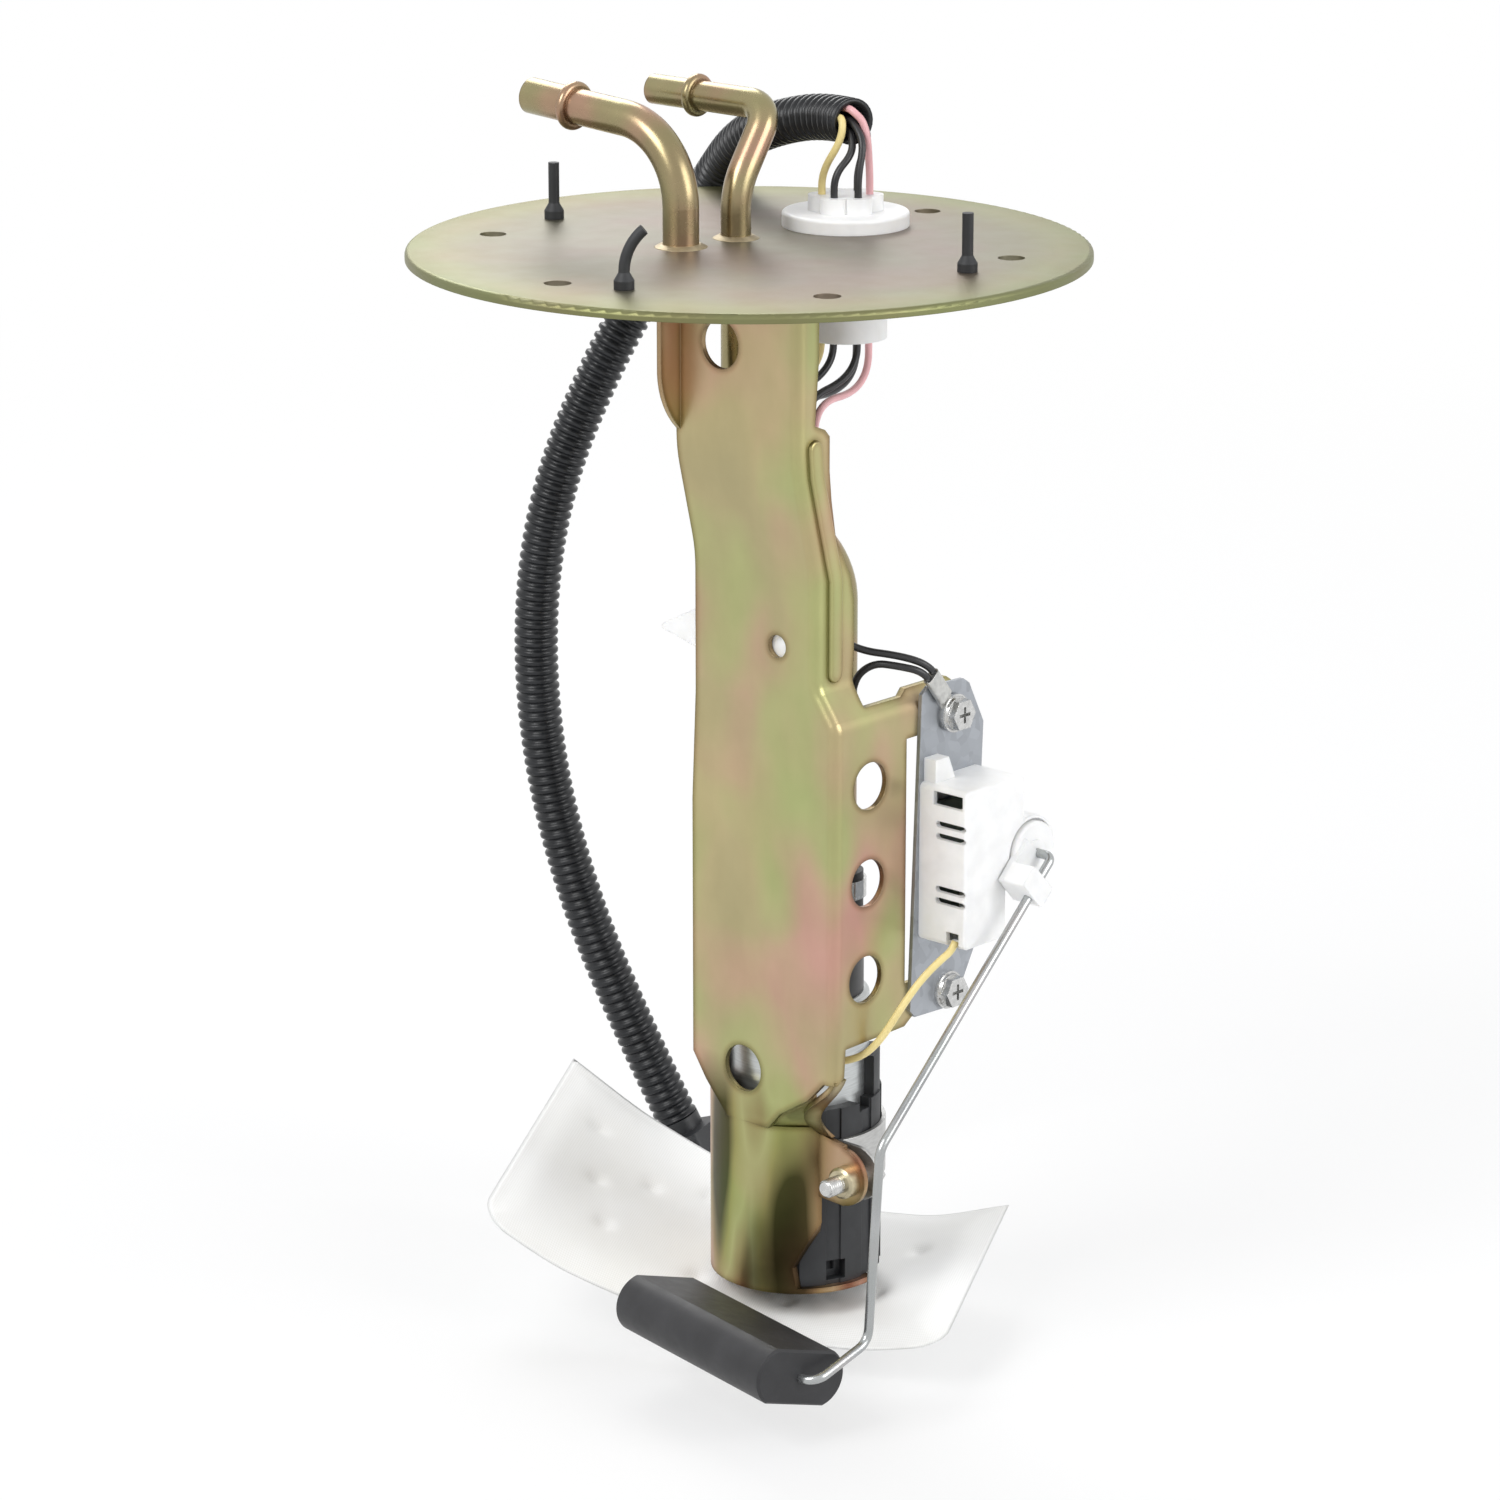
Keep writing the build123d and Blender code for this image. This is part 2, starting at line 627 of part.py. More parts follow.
# Isolator sleeve: a ribbed rubber cup with two posts, its floor on the bracket's ledge
sleeve_bottom = cup_bottom + sheet
sleeve_inside = sleeve_bottom + sleeve_floor
rib_radius = strap_inner - fit_gap
with BuildPart() as isolator_sleeve:
    with BuildSketch(Plane.XY.offset(sleeve_bottom)):
        with Locations((cup_x, cup_y)):
            Circle(sleeve_radius - 0.5)
            with PolarLocations(sleeve_radius - 0.5, sleeve_ribs, start_angle=first_rib_angle):
                Rectangle(2 * (rib_radius - sleeve_radius + 0.5), rib_width)
            Circle(rib_radius, mode=Mode.INTERSECT)
    extrude(amount=sleeve_top - sleeve_bottom)
    for angle in (post_angle, post_angle + 180):
        with BuildSketch(Plane.XY.offset(sleeve_top - 1)):
            with BuildLine():
                outer = CenterArc((cup_x, cup_y), sleeve_radius - 0.5, angle - post_span / 2, post_span)
                Line(outer @ 1, (cup_x, cup_y))
                Line((cup_x, cup_y), outer @ 0)
            make_face()
        extrude(amount=post_top - sleeve_top + 1)
    for k in range(6):
        notch = Plane(origin=polar(cup_x, cup_y, 10, 5 + 60 * k) + (sleeve_top,),
                      x_dir=(-sin(radians(5 + 60 * k)), cos(radians(5 + 60 * k)), 0),
                      z_dir=(cos(radians(5 + 60 * k)), sin(radians(5 + 60 * k)), 0))
        with BuildSketch(notch):
            Rectangle(5.0, 5.0)
        extrude(amount=20, mode=Mode.SUBTRACT)
    port_way = (cos(radians(port_angle)), sin(radians(port_angle)), 0)
    with BuildSketch(Plane(origin=polar(cup_x, cup_y, can_radius, port_angle) + (port_z,), z_dir=port_way)):
        Rectangle(port_side, port_side)
    extrude(amount=rib_radius - can_radius + 1, mode=Mode.SUBTRACT)
    with BuildSketch(Plane.XY.offset(sleeve_inside)):
        with Locations((cup_x, cup_y)):
            Circle(can_radius)
    extrude(amount=post_top - sleeve_inside, mode=Mode.SUBTRACT)
    with BuildSketch(Plane.XY.offset(sleeve_bottom)):
        with Locations((inlet_x, inlet_y)):
            Circle(inlet_radius + fit_gap)
    extrude(amount=sleeve_floor, mode=Mode.SUBTRACT)
save(isolator_sleeve, "isolator_sleeve")

# Pump can with a rolled upper edge and its inlet
with BuildPart() as pump_can:
    with BuildSketch(Plane.XY.offset(sleeve_inside)):
        with Locations((cup_x, cup_y)):
            Circle(can_radius)
    extrude(amount=can_top - sleeve_inside)
    fillet(pump_can.faces().sort_by(Axis.Z)[-1].edges(), can_radius - cap_radius - 0.2)
    with BuildSketch(Plane.XY.offset(can_top - 7)):
        with Locations((cup_x, cup_y)):
            Circle(can_radius)
            Circle(can_radius - 0.6, mode=Mode.SUBTRACT)
    extrude(amount=1.6, mode=Mode.SUBTRACT)
    with BuildSketch(Plane.XY.offset(sleeve_inside)):
        with Locations((inlet_x, inlet_y)):
            Circle(inlet_radius)
            Circle(inlet_radius - 1.2, mode=Mode.SUBTRACT)
    extrude(amount=-inlet_length)
save(pump_can, "pump_can")

# Pump end cap: outlet nozzle with two barbs and the terminal block
cap_top = can_top + cap_height
block_x, block_y = 11.5, -0.5
block_height = 7.5
with BuildPart() as pump_end_cap:
    with BuildSketch(Plane.XY.offset(can_top)):
        with Locations((cup_x, cup_y)):
            Circle(cap_radius)
    extrude(amount=cap_height)
    chamfer(pump_end_cap.faces().sort_by(Axis.Z)[-1].edges(), 1.6)
    with BuildSketch(Plane.XY.offset(cap_top)):
        with Locations((outlet_x, outlet_y)):
            Circle(outlet_radius)
    extrude(amount=outlet_height)
    for height in (3.5, 6.5):
        with Locations((outlet_x, outlet_y, cap_top + height)):
            Cone(hose_bore, outlet_radius, 2.0)
    with BuildSketch(Plane.XY.offset(cap_top)):
        with Locations((outlet_x, outlet_y)):
            Circle(outlet_radius - 1.4)
    extrude(amount=outlet_height, mode=Mode.SUBTRACT)
    with BuildSketch(Plane.XY.offset(cap_top)):
        with Locations((block_x, block_y)):
            RectangleRounded(12.5, 6.5, 1.2)
    extrude(amount=block_height)
save(pump_end_cap, "pump_end_cap")

# Fuel hose from the pump's nozzle to the supply tube
hose_bottom = cap_top + 0.8
with BuildPart() as fuel_hose:
    with BuildSketch(Plane.XY.offset(hose_bottom)):
        with Locations((outlet_x, outlet_y)):
            Circle(hose_radius)
            Circle(hose_bore, mode=Mode.SUBTRACT)
    extrude(amount=hose_top - hose_bottom)
save(fuel_hose, "fuel_hose")

# Two crimped bands on the hose
with BuildPart() as hose_clamps:
    for height in (hose_bottom + 1.5, hose_top - 2.0 - clamp_band):
        with BuildSketch(Plane.XY.offset(height)):
            with Locations((outlet_x, outlet_y)):
                Circle(hose_radius + clamp_sheet)
                Rectangle(2 * (hose_radius + clamp_sheet + 1.6), 3.4)
                Rectangle(2 * (hose_radius + clamp_sheet), 2 * (hose_radius + clamp_sheet), mode=Mode.INTERSECT)
                Circle(hose_radius, mode=Mode.SUBTRACT)
            with Locations((outlet_x + 0.6 * hose_radius, outlet_y - hose_radius * 0.92)):
                Rectangle(3.6, 2.0)
            with Locations((outlet_x, outlet_y)):
                Circle(hose_radius, mode=Mode.SUBTRACT)
        extrude(amount=clamp_band)
save(hose_clamps, "hose_clamps")

# Strainer neck on the pump's inlet
neck_top = cup_bottom - 1.0
with BuildPart() as strainer_neck:
    with BuildSketch(Plane.XY.offset(neck_top)):
        with Locations((inlet_x, inlet_y)):
            Circle(neck_radius - 1.4)
            Circle(inlet_radius, mode=Mode.SUBTRACT)
    extrude(amount=-neck_height)
    with BuildSketch(Plane.XY.offset(neck_top - 3.0)):
        with Locations((inlet_x, inlet_y)):
            Circle(neck_radius)
            Circle(inlet_radius, mode=Mode.SUBTRACT)
    extrude(amount=-neck_height)
save(strainer_neck, "strainer_neck")

# Strainer sock: a flat bag that droops between its corners
with BuildPart() as strainer_sock:
    for share, back_sag, front_sag in sock_stations:
        back = between(back_left, back_right, share) - Vector(0, 0, back_sag)
        front = between(front_left, front_right, share) - Vector(0, 0, front_sag)
        across = front - back
        at_end = share in (0.0, 1.0)
        half_mid = sock_edge_thickness / 2 if at_end else sock_thickness / 2
        half_edge = sock_edge_thickness / 2
        with BuildSketch(Plane(origin=back, x_dir=across, z_dir=across.cross(Vector(0, 0, 1)))):
            with BuildLine():
                top = ThreePointArc((0, half_edge), (across.length / 2, half_mid + 0.1), (across.length, half_edge))
                Line(top @ 1, (across.length, -half_edge))
                low = ThreePointArc((across.length, -half_edge), (across.length / 2, -half_mid - 0.1), (0, -half_edge))
                Line(low @ 1, top @ 0)
            make_face()
    loft()
    with BuildSketch(Plane.XY.offset(neck_top)):
        with Locations((inlet_x, inlet_y)):
            Circle(neck_radius)
    extrude(amount=-30, mode=Mode.SUBTRACT)
save(strainer_sock, "strainer_sock")

# Sender plate, tilted a little on the side panel
half_wide, half_high = plate_width / 2, plate_height / 2
plate_front = panel_x + plate_sheet
with BuildPart() as sender_plate:
    tilted = Plane(origin=(panel_x, plate_y, plate_z), x_dir=(0, cos(radians(plate_tilt)), sin(radians(plate_tilt))),
                   z_dir=(1, 0, 0))
    with BuildSketch(tilted):
        with BuildLine():
            Polyline(
                (-half_wide, 2 - half_high), (2 - half_wide, -half_high), (half_wide - 7, -half_high),
                (half_wide - 4, 3 - half_high), (half_wide - 4, 7 - half_high), (half_wide, 15 - half_high),
                (half_wide, half_high - 13), (half_wide - 6.5, half_high - 1.5), (half_wide - 9, half_high),
                (2.5 - half_wide, half_high), (-half_wide, half_high - 2), close=True)
        make_face()
    extrude(amount=plate_sheet)
    with BuildSketch(Plane.YZ.offset(panel_x)):
        with Locations((top_screw_y, top_screw_z), (low_screw_y, low_screw_z)):
            Circle(screw_radius + fit_gap)
    extrude(amount=plate_sheet, mode=Mode.SUBTRACT)
save(sender_plate, "sender_plate")

# Ring terminal under the upper screw, its barrel pointing up and away from the panel's free edge
ring_sheet = 0.8
terminal = Plane(origin=(plate_front, top_screw_y, top_screw_z), x_dir=(0, *polar(0, 0, 1, terminal_turn)),
                 z_dir=(1, 0, 0))
barrel_mid = plate_front + barrel_thick / 2
barrel_start = Vector(barrel_mid, *polar(top_screw_y, top_screw_z, barrel_from, terminal_turn))
with BuildPart() as ring_terminal:
    with BuildSketch(terminal):
        Circle(washer_radius - 0.4)
        with BuildLine():
            Polyline((2, -3), (barrel_from + 1, -1.8), (barrel_from + 1, 1.8), (2, 3), close=True)
        make_face()
        Circle(screw_radius + fit_gap, mode=Mode.SUBTRACT)
    extrude(amount=ring_sheet)
    with BuildSketch(Plane(origin=barrel_start, x_dir=(1, 0, 0), z_dir=terminal.x_dir)):
        RectangleRounded(barrel_thick, barrel_wide, 1.2)
    extrude(amount=barrel_length)
save(ring_terminal, "ring_terminal")

# Two hexagon screws with washers, crossed on their heads
screw_back = panel_x - sheet - 4.5
with BuildPart() as sender_screws:
    for y, z, seat in ((top_screw_y, top_screw_z, ring_sheet), (low_screw_y, low_screw_z, 0.0)):
        with BuildSketch(Plane.YZ.offset(screw_back)):
            with Locations((y, z)):
                Circle(screw_radius)
        extrude(amount=plate_front - screw_back + seat)
        head = Plane.YZ.offset(plate_front + seat)
        with BuildSketch(head):
            with Locations((y, z)):
                Circle(washer_radius)
        extrude(amount=washer_height)
        with BuildSketch(head.offset(washer_height)):
            with Locations((y, z)):
                Circle(screw_flange_radius)
        extrude(amount=0.8, taper=20)
        with BuildSketch(head.offset(washer_height)):
            with Locations((y, z)):
                RegularPolygon(screw_hex_flat / 2, 6, major_radius=False)
        extrude(amount=screw_head_height)
        with BuildSketch(head.offset(washer_height + screw_head_height)):
            with Locations((y, z)):
                Rectangle(4.4, 0.9)
                Rectangle(0.9, 4.4)
        extrude(amount=-1.6, mode=Mode.SUBTRACT)
save(sender_screws, "sender_screws")

with BuildPart() as sender_nuts:
    with BuildSketch(Plane.YZ.offset(panel_x - sheet)):
        with Locations((top_screw_y, top_screw_z), (low_screw_y, low_screw_z)):
            Circle(nut_collar)
            Circle(screw_radius, mode=Mode.SUBTRACT)
    extrude(amount=-nut_depth)
save(sender_nuts, "sender_nuts")

# Sender housing: a moulded shell on the plate, with a round recess for the rotor
housing_face = plate_front + housing_depth
low_step_z = -168.0
with BuildPart() as sender_housing:
    with BuildSketch(Plane.YZ.offset(plate_front)):
        with BuildLine():
            Polyline(
                (housing_left_y, housing_bottom), (housing_low_right_y, housing_bottom),
                (housing_low_right_y, low_step_z), (housing_right_y, low_step_z + 2), (housing_right_y, housing_top),
                (housing_left_y, housing_top), close=True)
        make_face()
        with Locations((pivot_y, pivot_z)):
            Circle(lobe_seat)
    extrude(amount=housing_depth)
    long_corners = sender_housing.edges().filter_by(Axis.X).filter_by(
        lambda e: e.center().Y < housing_left_y + 0.1 or e.center().Z > housing_top - 0.1)
    fillet(long_corners, 1.8)
    fillet(sender_housing.faces().sort_by(Axis.X)[-1].outer_wire().edges(), 0.8)
    with BuildSketch(Plane.YZ.offset(plate_front)):
        with BuildLine():
            Polyline(
                (housing_left_y + housing_wall, housing_bottom + housing_wall),
                (housing_low_right_y - housing_wall, housing_bottom + housing_wall),
                (housing_low_right_y - housing_wall, low_step_z + 2),
                (housing_right_y - housing_wall, low_step_z + 4),
                (housing_right_y - housing_wall, housing_top - housing_wall),
                (housing_left_y + housing_wall, housing_top - housing_wall), close=True)
        make_face()
        with Locations((pivot_y, pivot_z)):
            Circle(lobe_seat - 1.0)
    extrude(amount=housing_depth - housing_front_wall, mode=Mode.SUBTRACT)
    # round recess and shaft bore
    with BuildSketch(Plane.YZ.offset(housing_face)):
        with Locations((pivot_y, pivot_z)):
            Circle(rotor_radius + 0.6)
    extrude(amount=-rotor_recess, mode=Mode.SUBTRACT)
    with BuildSketch(Plane.YZ.offset(housing_face)):
        with Locations((pivot_y, pivot_z)):
            Circle(shaft_radius + shaft_gap)
    extrude(amount=-housing_depth, mode=Mode.SUBTRACT)
    # openings in the left wall: a window, four slots and the wire's way out
    with BuildSketch(Plane.XZ.offset(-housing_left_y + 1)):
        for z in (-147.5, -150.8, -165.3, -168.5):
            with Locations((plate_front + 10.8, z)):
                SlotOverall(10.0, 1.7)
        with Locations((plate_front + 9.8, -140.6)):
            Rectangle(10.0, 3.8)
        with Locations((exit_x, exit_z)):
            Rectangle(4.2, 4.0)
    extrude(amount=-4, mode=Mode.SUBTRACT)
    # clip finger over the upper left corner
    with BuildSketch(Plane.YZ.offset(plate_front)):
        with BuildLine():
            Polyline((18.7, housing_top - 0.5), (18.7, -131.0), (24.0, -131.0), (27.0, housing_top - 0.5), close=True)
        make_face()
    extrude(amount=4.0)
save(sender_housing, "sender_housing")

# Resistor card inside the housing
card_left = housing_left_y + housing_wall + 0.5
card_front = plate_front + 1.4
with BuildPart() as sender_card:
    with BuildSketch(Plane.YZ.offset(plate_front + 0.4)):
        with BuildLine():
            Polyline((card_left, -175.0), (32.0, -175.0), (32.0, -165.5), (36.0, -162.5), (36.0, -144.0),
                     (card_left, -144.0), close=True)
        make_face()
    extrude(amount=1.0)
    with BuildSketch(Plane.YZ.offset(plate_front)):
        with Locations((card_left + 4, -172.0), (card_left + 4, -147.0), (33.0, -147.0)):
            Circle(1.2)
    extrude(amount=0.4)
save(sender_card, "sender_card")

# Rotor: disc in the recess, shaft through the front wall, and a clip that grips the arm
disc_back = housing_face - rotor_recess + rotor_gap
shaft_back = plate_front + 4.0
disc_front = disc_back + rotor_height
arm_run = Vector(*arm_knee) - Vector(arm_x, pivot_y, pivot_z)
along_arm = Plane(origin=(housing_face + rotor_gap, pivot_y, pivot_z), x_dir=arm_run, z_dir=(1, 0, 0))
with BuildPart() as sender_rotor:
    with BuildSketch(Plane.YZ.offset(disc_back)):
        with Locations((pivot_y, pivot_z)):
            Circle(rotor_radius)
    extrude(amount=rotor_height)
    fillet(sender_rotor.faces().sort_by(Axis.X)[-1].edges(), 0.7)
    with BuildSketch(Plane.YZ.offset(disc_front)):
        with Locations((pivot_y, pivot_z)):
            Circle(hub_radius)
    extrude(amount=hub_height)
    with BuildSketch(Plane.YZ.offset(shaft_back)):
        with Locations((pivot_y, pivot_z)):
            Circle(shaft_radius)
    extrude(amount=disc_back - shaft_back)
    # blade along the arm, and the clip block at its end
    with BuildSketch(along_arm):
        with BuildLine():
            Polyline((0, -6.5), (clip_to, clip_left + 1), (clip_to, clip_right - 1), (0, 6.0), close=True)
        make_face()
    extrude(amount=blade_thick)
    with BuildSketch(along_arm.offset(blade_thick - 0.4)):
        with Locations(((clip_from + clip_to) / 2, (clip_left + clip_right) / 2)):
            RectangleRounded(clip_to - clip_from, clip_right - clip_left, 1.2)
    extrude(amount=arm_x + arm_radius + clip_cover - along_arm.origin.X - blade_thick + 0.4)
    with BuildSketch(Plane(origin=(arm_x, pivot_y, pivot_z), z_dir=arm_run)):
        Circle(arm_radius)
    extrude(amount=30, mode=Mode.SUBTRACT)
    with BuildSketch(Plane.YZ.offset(shaft_back)):
        with Locations((pivot_y, pivot_z)):
            Circle(arm_radius)
    extrude(amount=20, mode=Mode.SUBTRACT)
save(sender_rotor, "sender_rotor")

# Wiper: a spring blade on the shaft that sweeps the card
with BuildPart() as sender_wiper:
    with BuildSketch(Plane.YZ.offset(shaft_back)):
        with Locations((pivot_y, pivot_z)):
            SlotOverall(3.0 * shaft_radius, 2.0 * shaft_radius - 0.2, rotation=wiper_turn)
        with Locations(polar(pivot_y, pivot_z, wiper_reach / 2, 180 + wiper_turn)):
            SlotOverall(wiper_reach, wiper_width, rotation=wiper_turn)
    extrude(amount=-wiper_sheet)
    with BuildSketch(Plane.YZ.offset(shaft_back - wiper_sheet)):
        with Locations(polar(pivot_y, pivot_z, wiper_reach - wiper_width / 2, 180 + wiper_turn)):
            Circle(wiper_width / 2)
    extrude(amount=-(shaft_back - wiper_sheet - card_front - rotor_gap))
save(sender_wiper, "sender_wiper")

# Float arm: one bent wire from the shaft to the middle of the float
float_way = Vector(-cos(radians(float_turn)), sin(radians(float_turn)), 0)
float_corner = Vector(*float_end) - float_way * ((arm_x - float_end[0]) / cos(radians(float_turn)))
arm_start_x = shaft_back + 6.0
arm_route = [
    (arm_start_x, pivot_y, pivot_z),
    (arm_x, pivot_y, pivot_z),
    arm_knee,
    arm_foot,
    float_corner,
    Vector(*float_end) + float_way * arm_in_float,
]
with BuildPart() as float_arm:
    with BuildLine() as arm_line:
        FilletPolyline(*arm_route, radius=[2.2, 7.0, 5.0, arm_bend])
    with BuildSketch(Plane(origin=arm_route[0], z_dir=(1, 0, 0))):
        Circle(arm_radius)
    sweep()
save(float_arm, "float_arm")

# Float: a foam block with flat faces and round sides, bored for the arm
with BuildPart() as float_block:
    level = Vector(sin(radians(float_turn)), cos(radians(float_turn)), 0)
    roll = radians(float_roll)
    side = level * cos(roll) - Vector(0, 0, 1) * sin(roll)
    with BuildSketch(Plane(origin=float_end, x_dir=side, z_dir=float_way)):
        with BuildLine():
            low = Line((-float_flat_half, -float_half_height), (float_flat_half, -float_half_height))
            right = ThreePointArc(low @ 1, (float_half_width, 0), (float_flat_half, float_half_height))
            high = Line(right @ 1, (-float_flat_half, float_half_height))
            ThreePointArc(high @ 1, (-float_half_width, 0), low @ 0)
        make_face()
    extrude(amount=float_length)
    chamfer(float_block.faces().sort_by(Axis.X)[0].edges() + float_block.faces().sort_by(Axis.X)[-1].edges(), 0.6)
    with BuildSketch(Plane(origin=float_end, x_dir=side, z_dir=float_way).offset(-1)):
        Circle(arm_radius)
    extrude(amount=arm_in_float + 1, mode=Mode.SUBTRACT)
save(float_block, "float")

# Wire loom: corrugated sleeve from the grommet, over the rim and down behind the pump
loom_route = [
    loom_start,
    (-15.2, 46.8, 28.8),
    (-34.0, 49.0, 24.6),
    (-55.0, 57.0, 17.0),
    (-74.5, 66.0, 1.5),
    (-86.0, 57.0, -22.0),
    (-94.6, 44.9, -46.0),
    (-104.4, 33.2, -81.1),
    (-109.0, 28.8, -118.0),
    (-108.2, 29.8, -158.6),
    (-101.0, 34.5, -198.0),
    (-89.2, 43.0, -237.4),
    (-76.3, 52.2, -271.0),
]
loom_radii = corner_radii(loom_route)
print("loom radii", [round(radius, 1) for radius in loom_radii])
with BuildPart() as wire_loom:
    with BuildLine() as loom_line:
        FilletPolyline(*loom_route, radius=loom_radii)
    with BuildSketch(Plane(origin=loom_route[0], z_dir=Vector(*loom_route[1]) - Vector(*loom_route[0]))):
        Circle(loom_radius)
    sweep()
loom_length = loom_line.wire().length
print("loom length", round(loom_length, 1), "volume share",
      round(wire_loom.part.volume / (pi * loom_radius ** 2 * loom_length), 4))
save(wire_loom, "wire_loom")

# Connector at the loom's far end
loom_way = Vector(*loom_route[-1]) - Vector(*loom_route[-2])
loom_tip = Plane(origin=loom_route[-1], x_dir=(1, 0, 0.3), z_dir=loom_way)
with BuildPart() as loom_connector:
    with BuildSketch(loom_tip):
        Circle(loom_radius)
    extrude(amount=5.0)
    with BuildSketch(loom_tip.offset(4.0)):
        RectangleRounded(20.0, 13.0, 2.0)
    extrude(amount=17.0)
    with BuildSketch(loom_tip.offset(8.0)):
        with Locations((0, 7.5)):
            Rectangle(6.0, 3.0)
    extrude(amount=10.0)
    with BuildSketch(loom_tip.offset(21.0)):
        RectangleRounded(16.8, 9.8, 1.4)
    extrude(amount=-12.0, mode=Mode.SUBTRACT)
save(loom_connector, "loom_connector")

# Wires: from the loom's mouth through the grommet and down the channel, side by side
bundle_x, bundle_y, bundle_top = 29.0, -8.5, -64.0
bundle_pitch = 2.1
bundle_across = (0.826, 0.563)
shelf_x, shelf_y, shelf_z, shelf_pitch = 3.0, 11.0, -41.0, 2.7
barrel_bottom = -grommet_barrel_length
mouth_way = Vector(*loom_start) - Vector(*loom_route[1])
mouth_plane = Plane(origin=loom_start, x_dir=(0, 1, 0), z_dir=mouth_way)


def slot(place, z):
    """A wire's place in the bundle, counted from the middle."""
    along = place * bundle_pitch
    return (bundle_x + bundle_across[0] * along, bundle_y + bundle_across[1] * along, z)


def upper_route(spot, shoulder, seat, drop, place):
    """A wire from its spot in the loom's mouth, through its seat in the grommet, to its place in the bundle."""
    x, y = wire_seats[seat]
    start = mouth_plane.from_local_coords((*spot, wire_radius + fit_gap))
    shelf = (shelf_x + 0.95 * place * shelf_pitch, shelf_y + 0.3 * place * shelf_pitch, shelf_z)
    return [start, shoulder, (x, y, crown_top + 6.0), (x, y, barrel_bottom - drop), shelf, slot(place, bundle_top)]


def wire(label, route, most):
    """A round wire along a route, its bends as wide as the runs allow up to a largest radius."""
    radii = [min(most, radius) for radius in corner_radii(route)]
    with BuildPart() as strand:
        with BuildLine():
            FilletPolyline(*route, radius=radii)
        with BuildSketch(Plane(origin=route[0], z_dir=Vector(*route[1]) - Vector(*route[0]))):
            Circle(wire_radius)
        sweep()
    save(strand, label)


def barrel_spot(side, out):
    """A point beyond the ring terminal's barrel, to one side of its middle line."""
    along = barrel_from + barrel_length + out
    return terminal.from_local_coords((along, side, barrel_thick / 2))


block_top = cap_top + block_height
splice_x, splice_y, splice_top = 30.0, 5.0, -117.0
wire("wire_yellow", upper_route((-3.5, 1.2), (-1.3, 37.3, 24.8), 3, 8.6, -2) + [
    slot(-2, -201.0), (30.0, -8.0, -212.0), (38.5, -6.0, -213.0), (45.8, -3.5, -206.8), (50.0, 3.0, -198.3),
    (54.0, 8.5, -190.0), (exit_x, housing_left_y - 3.8, exit_z - 4.0), (exit_x, housing_left_y + 1.5, exit_z)], 8.6)
wire("wire_pink", upper_route((-0.9, 3.4), (2.6, 42.8, 28.6), 0, 14.4, 2.2) + [
    slot(2.2, -168.0), (14.0, 1.5, -175.5), (14.0, 1.5, block_top)], 14.4)
wire("wire_pump_ground", upper_route((-0.5, 0.2), (4.4, 39.8, 24.3), 5, 9.4, 1) + [
    slot(1, -160.0), (9.0, -1.5, -174.0), (9.0, -1.5, block_top)], 9.4)
wire("wire_splice", upper_route((2.6, -0.6), (1.6, 45.0, 24.5), 1, 15.0, 0) + [
    slot(0, -102.5), (25.2, -2.8, -108.0), (splice_x - 1.4, splice_y - 0.4, splice_top + 4.0),
    (splice_x - 1.4, splice_y - 0.4, splice_top)], 15.0)
wire("wire_plate_ground", upper_route((-1.2, -2.6), (1.8, 38.6, 21.6), 4, 8.0, -1) + [
    slot(-1, -84.0), (22.8, -3.2, -92.0), (31.0, 6.0, -101.6), (41.5, 13.4, -102.9),
    barrel_spot(-1.2, 3.2), barrel_spot(-1.2, 0.0)], 8.0)
wire("wire_jumper", [
    (splice_x + 1.4, splice_y + 0.4, splice_top), (splice_x + 1.4, splice_y + 0.4, splice_top + 7.0),
    (35.8, 8.4, -104.8), (42.0, 11.6, -105.2), barrel_spot(1.2, 3.2), barrel_spot(1.2, 0.0)], 8.0)

# Splice block where the ground wires join
with BuildPart() as lead_splice:
    with BuildSketch(Plane.XY.offset(splice_top)):
        with Locations((splice_x, splice_y)):
            RectangleRounded(6.4, 4.6, 1.2)
    extrude(amount=-12.0)
save(lead_splice, "lead_splice")

# Cable tie round the bundle, with a long pointed tail past the web's edge
tie_band, tie_height, tie_z = 1.1, 5.0, -95.0
tie_half = 2.2 * bundle_pitch
tie_turn = 34.3
tail_reach, tail_drop = 46.5, -5.7
tail_high, tail_low = 2.1, -9.0
with BuildPart() as cable_tie:
    with BuildSketch(Plane.XY.offset(tie_z - tie_height / 2)):
        with Locations((bundle_x, bundle_y)):
            SlotCenterToCenter(2 * tie_half, 2 * (wire_radius + tie_band), rotation=tie_turn)
            SlotCenterToCenter(2 * tie_half, 2 * wire_radius, rotation=tie_turn, mode=Mode.SUBTRACT)
    extrude(amount=tie_height)
    tail_root = Plane(origin=(bundle_x - 3.4, lower_web_y + sheet + 0.3, tie_z), x_dir=(-1, 0, 0), z_dir=(0, 1, 0))
    with BuildSketch(tail_root) as tail_face:
        with BuildLine():
            Polyline((-3, tail_high), (31.5, tail_high), (tail_reach, tail_drop), (32.5, tail_low), (-3, tail_low),
                     close=True)
        make_face()
        fillet(tail_face.vertices().sort_by(Axis.X)[-1], 0.8)
    extrude(amount=1.2)
    with Locations((bundle_x - 4.0, lower_web_y + sheet + 3.6, tie_z)):
        Box(6.0, 5.0, tie_height * 0.7)
    with BuildSketch(Plane.XY.offset(tie_z - tie_height / 2)):
        with Locations((bundle_x, bundle_y)):
            SlotCenterToCenter(2 * tie_half, 2 * wire_radius, rotation=tie_turn)
    extrude(amount=tie_height, mode=Mode.SUBTRACT)
save(cable_tie, "cable_tie")
